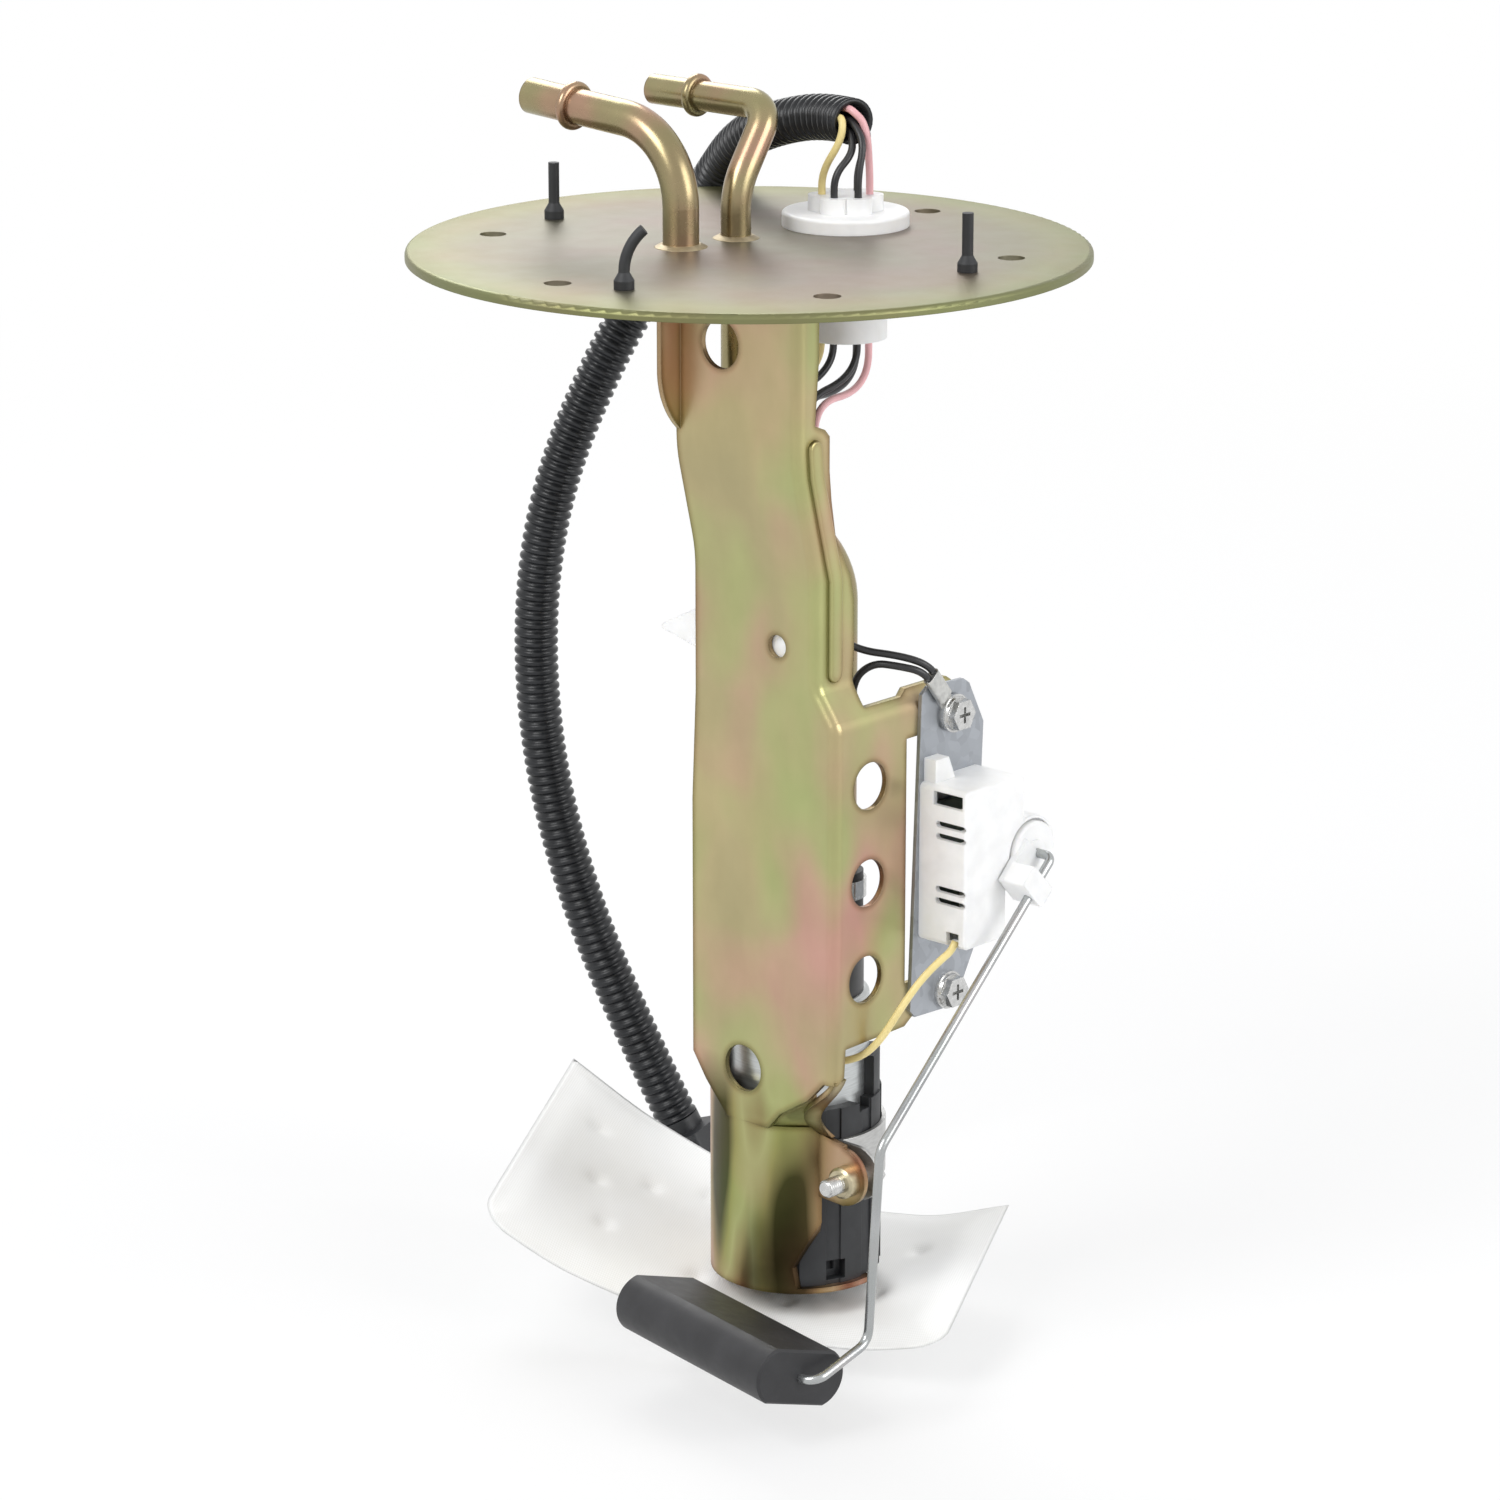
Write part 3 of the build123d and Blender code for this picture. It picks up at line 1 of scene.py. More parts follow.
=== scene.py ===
# %% [markdown]
# The frame is the CAD model: its nodes are already in the scene, each at its true size.
# This script dresses it. The box of the bare CAD is kept, and the floor is laid just below it.

# %% Load the frame
import bpy
import bmesh
import json
from math import cos, exp, pi, radians, sin, sqrt
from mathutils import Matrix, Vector, noise


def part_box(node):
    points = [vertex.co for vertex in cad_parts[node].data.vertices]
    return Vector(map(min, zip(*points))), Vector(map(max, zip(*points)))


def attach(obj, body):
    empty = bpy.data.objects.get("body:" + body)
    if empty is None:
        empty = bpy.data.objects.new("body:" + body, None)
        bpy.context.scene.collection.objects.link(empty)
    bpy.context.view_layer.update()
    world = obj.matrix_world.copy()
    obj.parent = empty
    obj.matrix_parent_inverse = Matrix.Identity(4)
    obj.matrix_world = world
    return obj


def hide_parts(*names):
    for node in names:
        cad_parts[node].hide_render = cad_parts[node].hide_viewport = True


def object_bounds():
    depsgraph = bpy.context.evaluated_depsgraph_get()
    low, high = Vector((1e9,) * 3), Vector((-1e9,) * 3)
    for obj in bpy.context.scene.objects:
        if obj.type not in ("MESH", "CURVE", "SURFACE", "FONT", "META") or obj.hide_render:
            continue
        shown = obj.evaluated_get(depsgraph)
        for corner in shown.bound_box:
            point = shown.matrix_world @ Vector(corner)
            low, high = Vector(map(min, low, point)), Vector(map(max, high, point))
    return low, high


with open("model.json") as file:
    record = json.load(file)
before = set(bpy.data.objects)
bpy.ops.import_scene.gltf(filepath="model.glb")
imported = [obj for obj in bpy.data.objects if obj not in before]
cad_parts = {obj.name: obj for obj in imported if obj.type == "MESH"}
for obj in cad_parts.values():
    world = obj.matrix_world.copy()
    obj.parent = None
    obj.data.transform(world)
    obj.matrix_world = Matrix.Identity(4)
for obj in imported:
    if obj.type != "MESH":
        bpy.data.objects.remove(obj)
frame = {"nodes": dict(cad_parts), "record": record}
cad_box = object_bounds()
mm = 0.001

# %% [markdown]
# The photograph looks down at the module from the front right with a long lens. The camera stands 1.4 m away,
# 42.5 degrees round and 16 degrees up, so the flange shows as a flat ellipse and the upright edges stay parallel.

# %% Camera
turn, lift = radians(42.5), radians(16.3)
camera_distance, aim_right, aim_height = 1.375, 0.0002, -0.1338
lens_length, sensor_width = 124.1, 36.0  # millimetres
to_camera = Vector((sin(turn) * cos(lift), -cos(turn) * cos(lift), sin(lift)))
to_right = Vector((cos(turn), sin(turn), 0))
aim = to_right * aim_right + Vector((0, 0, aim_height))
camera = bpy.data.objects.new("camera", bpy.data.cameras.new("camera"))
bpy.context.collection.objects.link(camera)
camera.data.sensor_width = sensor_width
camera.data.lens = lens_length
camera.location = aim + to_camera * camera_distance
camera.rotation_mode = "QUATERNION"
camera.rotation_quaternion = (-to_camera).to_track_quat("-Z", "Y")
camera.data.clip_end = 60.0
bpy.context.scene.camera = camera
bpy.context.scene.view_settings.view_transform = "Standard"
print("camera at", [round(v, 3) for v in camera.location])

# %% [markdown]
# A studio is a few large soft lamps and a pale sweep. The plated sheet is a blurred mirror, so what it reflects
# matters as much as what lights it: the world is a little brighter above than below, which gives each bent face
# its own tone.

# %% Lamps and world
def soft_lamp(name, place, watts, width):
    """A square lamp that faces the middle of the object."""
    lamp = bpy.data.objects.new(name, bpy.data.lights.new(name, "AREA"))
    lamp.data.energy = watts
    lamp.data.size = width
    lamp.location = place
    lamp.rotation_mode = "QUATERNION"
    lamp.rotation_quaternion = (aim - Vector(place)).to_track_quat("-Z", "Y")
    bpy.context.collection.objects.link(lamp)


def background_rays(tree):
    """1 for the rays that show the background: the camera's own, and those that metal or glass sends on."""
    rays = tree.nodes.new("ShaderNodeLightPath")
    shows = rays.outputs["Is Camera Ray"]
    for kind in ("Is Glossy Ray", "Is Transmission Ray"):
        either = tree.nodes.new("ShaderNodeMath")
        either.operation = "MAXIMUM"
        tree.links.new(shows, either.inputs[0])
        tree.links.new(rays.outputs[kind], either.inputs[1])
        shows = either.outputs[0]
    return shows


towards = Vector((sin(turn), -cos(turn), 0))
lamps = (  # name, metres to the right, towards the camera and up, watts, width in metres
    ("key_lamp", -1.1, 1.0, 1.1, 19, 0.9),
    ("fill_lamp", 1.3, 0.7, 0.5, 11, 0.9),
    ("back_lamp", -0.3, -1.3, 1.0, 10, 0.8),
)
for name, right, near, up, watts, width in lamps:
    soft_lamp(name, to_right * right + towards * near + Vector((0, 0, up)), watts, width)
sky_below, sky_above, sky_strength = (0.36, 0.37, 0.38, 1), (0.92, 0.93, 0.95, 1), 0.72
world = bpy.data.worlds.new("studio")
bpy.context.scene.world = world
world.use_nodes = True
sky = world.node_tree
sky.nodes.clear()
sky_out = sky.nodes.new("ShaderNodeOutputWorld")
seen, lighting = sky.nodes.new("ShaderNodeBackground"), sky.nodes.new("ShaderNodeBackground")
seen.inputs["Color"].default_value = (1, 1, 1, 1)
choose = sky.nodes.new("ShaderNodeMixShader")
place, split = sky.nodes.new("ShaderNodeTexCoord"), sky.nodes.new("ShaderNodeSeparateXYZ")
tones = sky.nodes.new("ShaderNodeValToRGB")
for element, at, colour in zip(tones.color_ramp.elements, (0.0, 0.9), (sky_below, sky_above)):
    element.position = at
    element.color = colour
sky.links.new(place.outputs["Generated"], split.inputs[0])
sky.links.new(split.outputs["Z"], tones.inputs["Fac"])
sky.links.new(tones.outputs["Color"], lighting.inputs["Color"])
lighting.inputs["Strength"].default_value = sky_strength
sky.links.new(background_rays(sky), choose.inputs["Fac"])
sky.links.new(lighting.outputs[0], choose.inputs[1])
sky.links.new(seen.outputs[0], choose.inputs[2])
sky.links.new(choose.outputs[0], sky_out.inputs["Surface"])
print(len(lamps), "lamps and a world")

# %% [markdown]
# A material here is a small graph. One helper starts it with the shader, the piece's own coordinates and a
# bump, and the others below add one kind of detail each: cloudy colour, fine grain, and rounded edges.

# %% Material helpers
class Finish:
    """A node material that is put together step by step."""

    def __init__(self, name, colour, roughness, metallic=0.0):
        self.material = bpy.data.materials.new(name)
        self.material.use_nodes = True
        self.tree = self.material.node_tree
        self.tree.nodes.clear()
        self.shader = self.add("ShaderNodeBsdfPrincipled")
        out = self.add("ShaderNodeOutputMaterial")
        self.link(self.shader.outputs[0], out.inputs["Surface"])
        self.set("Base Color", (*colour, 1))
        self.set("Roughness", roughness)
        self.set("Metallic", metallic)
        self.where = self.add("ShaderNodeTexCoord").outputs["Object"]
        self.normal = None

    def add(self, kind):
        return self.tree.nodes.new(kind)

    def link(self, a, b):
        self.tree.links.new(a, b)

    def set(self, socket, value):
        self.shader.inputs[socket].default_value = value

    def stretched(self, scale):
        """The piece's coordinates, scaled along each axis."""
        stretch = self.add("ShaderNodeMapping")
        stretch.inputs["Scale"].default_value = scale
        self.link(self.where, stretch.inputs["Vector"])
        return stretch.outputs["Vector"]

    def noise(self, scale, detail=3.0, stretch=None, roughness=0.5):
        """Cloudy values from 0 to 1; scale counts clouds in a metre."""
        clouds = self.add("ShaderNodeTexNoise")
        clouds.inputs["Scale"].default_value = scale
        clouds.inputs["Detail"].default_value = detail
        clouds.inputs["Roughness"].default_value = roughness
        self.link(self.stretched(stretch) if stretch else self.where, clouds.inputs["Vector"])
        return clouds.outputs["Fac"]

    def ramp(self, value, stops):
        """Turns a value into a colour between stops."""
        band = self.add("ShaderNodeValToRGB")
        while len(band.color_ramp.elements) < len(stops):
            band.color_ramp.elements.new(0.5)
        for element, (at, colour) in zip(band.color_ramp.elements, stops):
            element.position = at
            element.color = (*colour, 1)
        self.link(value, band.inputs["Fac"])
        return band.outputs["Color"]

    def mix(self, share, a, b, how="MIX"):
        """Mixes two colours; share may be a number or a value from a node."""
        blend = self.add("ShaderNodeMix")
        blend.data_type = "RGBA"
        blend.blend_type = how
        factor, first, second = blend.inputs[0], blend.inputs[6], blend.inputs[7]  # the colour pair of a mix node
        for value, socket in ((share, factor), (a, first), (b, second)):
            if isinstance(value, (int, float)):
                socket.default_value = value
            elif isinstance(value, tuple):
                socket.default_value = (*value, 1)
            else:
                self.link(value, socket)
        return blend.outputs[2]  # its colour result

    def span(self, value, low, high):
        """Stretches 0..1 to low..high."""
        fit = self.add("ShaderNodeMapRange")
        fit.inputs["To Min"].default_value = low
        fit.inputs["To Max"].default_value = high
        self.link(value, fit.inputs["Value"])
        return fit.outputs["Result"]

    def bump(self, height, depth, strength=1.0):
        """Raises the surface by height times depth, in metres."""
        rise = self.add("ShaderNodeBump")
        rise.inputs["Strength"].default_value = strength
        rise.inputs["Distance"].default_value = depth
        self.link(height, rise.inputs["Height"])
        if self.normal:
            self.link(self.normal, rise.inputs["Normal"])
        self.normal = rise.outputs["Normal"]

    def soft_edges(self, radius):
        """Catches light along sharp edges, as a rolled or moulded edge does."""
        edge = self.add("ShaderNodeBevel")
        edge.samples = 4
        edge.inputs["Radius"].default_value = radius
        self.normal = edge.outputs["Normal"]

    def done(self):
        if self.normal:
            self.link(self.normal, self.shader.inputs["Normal"])
        return self.material


finishes = {}
print("helpers ready")

# %% [markdown]
# Zinc plate with a yellow chromate film is thin enough to show interference colours: olive and straw with drifts
# of pink and green, a few centimetres wide. Three broad clouds choose the colour and a finer one dulls it a little.
# Where a wide bevel's normal leaves the true one, at bends and cut edges, that difference tells the shader where to
# darken
# it: partly the film, which is thicker there, and partly painted shade that stands for the dark reflections along the
# bends. The film lies on bare metal, so the shader stays metallic and satin.

# %% Yellow chromate zinc
def film_colour(plate, tones, drift, edge):
    """The drifting colour of a plated film, darker towards bends and edges, partly as thicker film and partly as
    painted shade; tones are dull, pale, pink and green.
    """
    dull, pale, pink, green = tones
    broad = plate.ramp(plate.noise(1.0, 2.0, drift), ((0.38, dull), (0.60, pale)))
    for tone, share, size in ((pink, 0.9, 1.45), (green, 0.8, 1.9)):
        cloud = plate.noise(1.0, 1.5, tuple(size * d for d in drift))
        broad = plate.mix(plate.ramp(cloud, ((0.42, (0, 0, 0)), (0.60, (share,) * 3))), broad, tone)
    haze = plate.ramp(plate.noise(1.0, 4.0, (70, 70, 40)), ((0.35, (0.82, 0.82, 0.80)), (0.7, (1, 1, 1))))
    wide, true = plate.add("ShaderNodeBevel"), plate.add("ShaderNodeNewGeometry")
    wide.samples = 6
    wide.inputs["Radius"].default_value = edge
    flatness = plate.add("ShaderNodeVectorMath")
    flatness.operation = "DOT_PRODUCT"
    plate.link(wide.outputs["Normal"], flatness.inputs[0])
    plate.link(true.outputs["Normal"], flatness.inputs[1])
    # painted shade: these tones darken bends and cut edges for the dark reflections along them, besides the thicker
    # film
    bend_shade_tones = ((0.72, (0.30, 0.28, 0.20)), (0.95, (0.84, 0.70, 0.62)), (1.0, (1, 1, 1)))
    painted_bend_shade = plate.ramp(flatness.outputs["Value"], bend_shade_tones)
    return plate.mix(0.85, plate.mix(0.6, broad, haze, "MULTIPLY"), painted_bend_shade, "MULTIPLY")


reflection_streak_fade = 14 * mm


def chromate(name, tones, roughness, drift, edge=3 * mm, grain=0.02 * mm, reflection_streaks_below=None):
    """Plated sheet; below a height its film carries dark and pale vertical streaks, partly the film's own drift and
    partly painted reflections of the studio on the cup.
    """
    plate = Finish(name, (0.5, 0.45, 0.25), roughness, 0.88)
    plate.soft_edges(0.35 * mm)
    film = film_colour(plate, tones, drift, edge)
    if reflection_streaks_below is not None:
        # painted reflection: dark and pale vertical streaks below the height, standing for the studio's reflections
        # on the cup, besides the film's drift
        reflection_streak_tones = ((0.36, (0.16, 0.17, 0.10)), (0.46, (0.78, 0.76, 0.58)), (0.54, (1, 0.98, 0.95)),
                        (0.66, (0.50, 0.27, 0.25)))
        streaks = plate.ramp(plate.noise(1.0, 1.5, (52, 52, 15)), reflection_streak_tones)
        parts, depth = plate.add("ShaderNodeSeparateXYZ"), plate.add("ShaderNodeMapRange")
        plate.link(plate.where, parts.inputs[0])
        plate.link(parts.outputs["Z"], depth.inputs["Value"])
        depth.inputs["From Min"].default_value = reflection_streaks_below
        depth.inputs["From Max"].default_value = reflection_streaks_below - reflection_streak_fade
        shown = plate.mix(depth.outputs["Result"], (1.0, 1.0, 1.0), streaks)
        film = plate.mix(1.0, film, shown, "MULTIPLY")
    plate.link(film, plate.shader.inputs["Base Color"])
    plate.link(plate.span(plate.noise(180, 4.0), roughness - 0.06, roughness + 0.1), plate.shader.inputs["Roughness"])
    plate.bump(plate.noise(900, 3.0, (1, 1, 0.35)), grain, 0.5)
    return plate.done()


olive, straw, rose, leaf = (0.46, 0.40, 0.22), (0.57, 0.47, 0.25), (0.62, 0.34, 0.29), (0.40, 0.46, 0.19)
# below -214 mm, on the cup, the bracket's film gets vertical streaks of painted reflection
finishes["bracket_zinc"] = chromate(
    "bracket_zinc", (olive, straw, rose, leaf), 0.34, (17, 17, 11), reflection_streaks_below=-214 * mm)
bronze = ((0.31, 0.25, 0.14), (0.40, 0.31, 0.18), (0.47, 0.27, 0.20), (0.31, 0.30, 0.15))
finishes["tube_zinc"] = chromate("tube_zinc", bronze, 0.25, (26, 26, 26), 0.6 * mm, 0.006 * mm)
drawn_wire = ((0.36, 0.37, 0.38), (0.50, 0.51, 0.52), (0.48, 0.46, 0.46), (0.42, 0.44, 0.44))
finishes["arm_steel"] = chromate("arm_steel", drawn_wire, 0.22, (30, 30, 30), 0.4 * mm, 0.006 * mm)
print("plated finishes", len(finishes))

# %% [markdown]
# The flange is the same plate, but its film is thin and grey in the middle and thick and green at the rolled
# rim. The distance from the axis picks the tone, with a cloud added so that the change isn't a drawn circle.

# %% Flange plate
grey_until, green_from, tone_wander = 0.060, 0.098, 0.016  # metres from the axis


def flange_finish():
    plate = Finish("flange_zinc", (0.3, 0.28, 0.22), 0.42, 0.88)
    plate.soft_edges(0.3 * mm)
    split = plate.add("ShaderNodeSeparateXYZ")
    flat = plate.add("ShaderNodeCombineXYZ")
    length = plate.add("ShaderNodeVectorMath")
    length.operation = "LENGTH"
    plate.link(plate.where, split.inputs[0])
    plate.link(split.outputs["X"], flat.inputs["X"])
    plate.link(split.outputs["Y"], flat.inputs["Y"])
    plate.link(flat.outputs[0], length.inputs[0])
    wander = plate.add("ShaderNodeMath")
    wander.operation = "MULTIPLY_ADD"
    wander.inputs[1].default_value = tone_wander
    plate.link(plate.noise(28, 3.0), wander.inputs[0])
    plate.link(length.outputs["Value"], wander.inputs[2])
    ring = plate.add("ShaderNodeMapRange")
    ring.inputs["From Min"].default_value = grey_until
    ring.inputs["From Max"].default_value = green_from
    plate.link(wander.outputs[0], ring.inputs["Value"])
    ring_tones = ((0.0, (0.22, 0.20, 0.17)), (0.45, (0.22, 0.20, 0.15)), (0.75, (0.24, 0.23, 0.14)),
                  (1.0, (0.20, 0.21, 0.10)))
    tone = plate.ramp(ring.outputs["Result"], ring_tones)
    drift = plate.ramp(plate.noise(26, 2.0), ((0.4, (0.96, 1.0, 0.86)), (0.62, (1.0, 0.82, 0.80))))
    plate.link(plate.mix(0.6, tone, drift, "MULTIPLY"), plate.shader.inputs["Base Color"])
    plate.link(plate.span(plate.noise(120, 4.0), 0.36, 0.50), plate.shader.inputs["Roughness"])
    plate.bump(plate.noise(1400, 2.0), 0.015 * mm, 0.5)
    return plate.done()


finishes["flange_zinc"] = flange_finish()
print("flange finish")

# %% [markdown]
# Bright zinc, bare strip and the drawn can differ in their grain: the can is turned, so its marks run round it,
# the strip is rolled, and the level plate is hot-dipped, which leaves flat crystals a few millimetres wide.

# %% Bare and bright metals
def bright_metal(name, colour, roughness, grain=(1, 1, 1), marks=700):
    metal = Finish(name, colour, roughness, 0.9)
    metal.soft_edges(0.2 * mm)
    streaks = metal.noise(marks, 4.0, grain)
    dark = tuple(0.78 * c for c in colour)
    metal.link(metal.ramp(streaks, ((0.3, dark), (0.65, colour))), metal.shader.inputs["Base Color"])
    metal.link(metal.span(streaks, roughness - 0.07, roughness + 0.1), metal.shader.inputs["Roughness"])
    metal.bump(streaks, 0.02 * mm, 0.4)
    return metal.done()


def crystal_plate(name, colour):
    plate = Finish(name, colour, 0.36, 0.85)
    plate.soft_edges(0.25 * mm)
    cells = plate.add("ShaderNodeTexVoronoi")
    cells.inputs["Scale"].default_value = 330  # crystals in a metre
    plate.link(plate.where, cells.inputs["Vector"])
    tone = plate.add("ShaderNodeRGBToBW")
    plate.link(cells.outputs["Color"], tone.inputs[0])
    light, dark = tuple(1.07 * c for c in colour), tuple(0.88 * c for c in colour)
    plate.link(plate.ramp(tone.outputs[0], ((0.2, dark), (0.8, light))), plate.shader.inputs["Base Color"])
    plate.link(plate.span(tone.outputs[0], 0.32, 0.42), plate.shader.inputs["Roughness"])
    return plate.done()


metals = {
    "bright_steel": ((0.66, 0.66, 0.65), 0.24),
    "strap_steel": ((0.56, 0.56, 0.55), 0.38, (0.2, 0.2, 1), 1500),
    "can_steel": ((0.60, 0.62, 0.62), 0.33, (0.06, 0.06, 1), 2200),
    "tinned": ((0.62, 0.62, 0.60), 0.30),
    "nut_brass": ((0.60, 0.53, 0.36), 0.30),
    "braze": ((0.50, 0.42, 0.28), 0.42),
    "spring_copper": ((0.62, 0.40, 0.22), 0.28),
}
for name, settings in metals.items():
    finishes[name] = bright_metal(name, *settings)
finishes["plate_steel"] = crystal_plate("plate_steel", (0.38, 0.40, 0.43))
print("metals", len(finishes))

# %% [markdown]
# Natural nylon lets a little light into itself, so its shadows are soft and warm. Rubber and the foam float are
# nearly black with a fine matt grain; the float's skin is smoother and shows a grey sheen.

# %% Plastics, rubber and foam
def nylon(name, colour, roughness=0.38):
    resin = Finish(name, colour, roughness)
    resin.soft_edges(0.35 * mm)
    shade = tuple(0.93 * c for c in colour)
    resin.link(resin.ramp(resin.noise(160, 3.0), ((0.35, shade), (0.65, colour))), resin.shader.inputs["Base Color"])
    resin.set("Subsurface Weight", 0.25)
    resin.set("Subsurface Radius", (1.6 * mm, 1.5 * mm, 1.3 * mm))
    resin.set("Subsurface Scale", 1.0)
    resin.bump(resin.noise(1800, 2.0), 0.02 * mm, 0.4)
    return resin.done()


def black_skin(name, colour, roughness, grain, depth, gloss=0.5):
    skin = Finish(name, colour, roughness)
    skin.soft_edges(0.3 * mm)
    dust = tuple(1.5 * c + 0.004 for c in colour)
    skin.link(skin.ramp(skin.noise(90, 5.0), ((0.42, colour), (0.75, dust))), skin.shader.inputs["Base Color"])
    skin.link(skin.span(skin.noise(260, 3.0), roughness - 0.08, roughness + 0.1), skin.shader.inputs["Roughness"])
    skin.set("Specular IOR Level", gloss)
    skin.bump(skin.noise(grain, 4.0), depth, 0.6)
    return skin.done()


finishes["white_nylon"] = nylon("white_nylon", (0.94, 0.94, 0.935))
finishes["lock_nylon"] = nylon("lock_nylon", (0.86, 0.86, 0.84), 0.45)
dark_skins = {
    "black_rubber": ((0.016, 0.017, 0.019), 0.55, 1500, 0.04 * mm),
    "hose_rubber": ((0.018, 0.018, 0.019), 0.5, 1200, 0.04 * mm),
    "cap_black": ((0.022, 0.022, 0.024), 0.4, 2000, 0.02 * mm),
    "loom_black": ((0.008, 0.009, 0.011), 0.30, 1600, 0.015 * mm, 0.4),
    "connector_black": ((0.014, 0.015, 0.017), 0.42, 1800, 0.02 * mm),
    "float_foam": ((0.017, 0.017, 0.019), 0.46, 2600, 0.05 * mm),
    "card_ceramic": ((0.10, 0.13, 0.10), 0.5, 900, 0.02 * mm),
}
for name, settings in dark_skins.items():
    finishes[name] = black_skin(name, *settings)
print("plastics and rubbers", len(finishes))

# %% [markdown]
# Wire insulation is extruded, so it is smooth along its length, with a soft shine and a few dull spots.

# %% Wire insulation
def insulation(name, colour):
    skin = Finish(name, colour, 0.36)
    pale = tuple(min(1.0, 1.08 * c + 0.01) for c in colour)
    skin.link(skin.ramp(skin.noise(120, 2.0), ((0.4, colour), (0.7, pale))), skin.shader.inputs["Base Color"])
    skin.link(skin.span(skin.noise(300, 3.0), 0.28, 0.46), skin.shader.inputs["Roughness"])
    return skin.done()


insulation_colours = {
    "insulation_yellow": (0.84, 0.69, 0.30),
    "insulation_pink": (0.82, 0.45, 0.47),
    "insulation_black": (0.014, 0.014, 0.016),
}
for name, colour in insulation_colours.items():
    finishes[name] = insulation(name, colour)
print("insulation colours", len(insulation_colours))

# %% [markdown]
# The strainer is fine nylon gauze. Its threads are less than a millimetre apart, too fine to model, so two
# crossed waves draw them as bump and as a faint change of tone. They follow the bag's own flat coordinates,
# stored on its mesh, so the weave keeps straight where the bag sags.

# %% Gauze
thread_scale = 480  # a wave is 0.314 wide at scale 1, so these lie 0.65 mm apart


def gauze():
    cloth = Finish("sock_nylon", (0.92, 0.92, 0.90), 0.62)
    flat = cloth.add("ShaderNodeAttribute")
    flat.attribute_name = "flat_place"
    threads = []
    for direction in ("X", "Y"):
        wave = cloth.add("ShaderNodeTexWave")
        wave.bands_direction = direction
        wave.inputs["Scale"].default_value = thread_scale
        cloth.link(flat.outputs["Vector"], wave.inputs["Vector"])
        threads.append(wave.outputs["Fac"])
    weave = cloth.mix(0.5, threads[0], threads[1])
    tone = cloth.ramp(weave, ((0.2, (0.88, 0.88, 0.86)), (0.8, (0.97, 0.97, 0.965))))
    stain = cloth.ramp(cloth.noise(26, 3.0), ((0.4, (1, 1, 1)), (0.75, (0.97, 0.96, 0.93))))
    cloth.link(cloth.mix(0.7, tone, stain, "MULTIPLY"), cloth.shader.inputs["Base Color"])
    cloth.set("Subsurface Weight", 0.2)
    cloth.set("Subsurface Radius", (2 * mm, 2 * mm, 2 * mm))
    cloth.set("Sheen Weight", 0.15)
    cloth.bump(weave, 0.05 * mm, 0.35)
    cloth.bump(cloth.noise(120, 4.0), 0.4 * mm, 0.25)
    return cloth.done()


finishes["sock_nylon"] = gauze()
print("gauze finish")

# %% [markdown]
# Each CAD node already names its finish in the record, so one loop dresses them all.

# %% Dress the CAD nodes
slot_of = {part["node"]: part["material_slot"] for part in frame["record"]["subparts"]}
for name, node in frame["nodes"].items():
    for material_slot in node.material_slots:
        material_slot.material = finishes[slot_of[name]]
print("dressed", len(slot_of), "nodes")


def new_piece(name, mesh, body, finish):
    """Puts a finished mesh into the scene, riding on a body."""
    piece = bpy.data.objects.new(name, mesh)
    bpy.context.collection.objects.link(piece)
    piece.data.materials.append(finishes[finish])
    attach(piece, body)
    return piece


def smooth(mesh):
    for face in mesh.polygons:
        face.use_smooth = True
    return mesh

# %% [markdown]
# The wire loom is a corrugated sleeve. Its route is one smooth spline through the air; along it, rings of
# points swell and shrink every 2.7 mm. A tube with a real profile keeps its ribs at every bend, which a bump
# can't do at the outline.

# %% Wire loom
loom_route = [
    (-0.0018, 0.0422, 0.0290), (-0.0152, 0.0468, 0.0288), (-0.0340, 0.0490, 0.0246), (-0.0550, 0.0570, 0.0170),
    (-0.0745, 0.0660, 0.0015), (-0.0860, 0.0570, -0.0220), (-0.0946, 0.0449, -0.0460), (-0.1044, 0.0332, -0.0811),
    (-0.1090, 0.0288, -0.1180), (-0.1082, 0.0298, -0.1586), (-0.1010, 0.0345, -0.1980), (-0.0892, 0.0430, -0.2374),
    (-0.0763, 0.0522, -0.2710),
]
loom_radius, bore_radius, bore_depth, loom_sides = 6.2 * mm, 4.7 * mm, 11 * mm, 26


def spline_points(route):
    """The line of a smooth spline that a route's points pull along."""
    curve = bpy.data.curves.new("route", "CURVE")
    curve.dimensions = "3D"
    curve.resolution_u = 24
    line = curve.splines.new("NURBS")
    line.points.add(len(route) - 1)
    for point, spot in zip(line.points, route):
        point.co = (*spot, 1)
    line.order_u = 3
    line.use_endpoint_u = True
    holder = bpy.data.objects.new("route", curve)
    mesh = bpy.data.meshes.new_from_object(holder)
    points = [vertex.co.copy() for vertex in mesh.vertices]
    bpy.data.objects.remove(holder)
    bpy.data.meshes.remove(mesh)
    bpy.data.curves.remove(curve)
    return points


def walk(points, step):
    """Points, directions and distances at even steps along a line, and its length."""
    out, gone, at = [], 0.0, 0.0
    for a, b in zip(points, points[1:]):
        run = (b - a).length
        while at <= gone + run + 1e-9:
            out.append((a.lerp(b, (at - gone) / run), at))
            at += step
        gone += run
    spots = [spot for spot, _ in out]
    ways = [(spots[min(i + 1, len(spots) - 1)] - spots[max(i - 1, 0)]).normalized() for i in range(len(spots))]
    return [(spot, way, far) for (spot, far), way in zip(out, ways)], gone


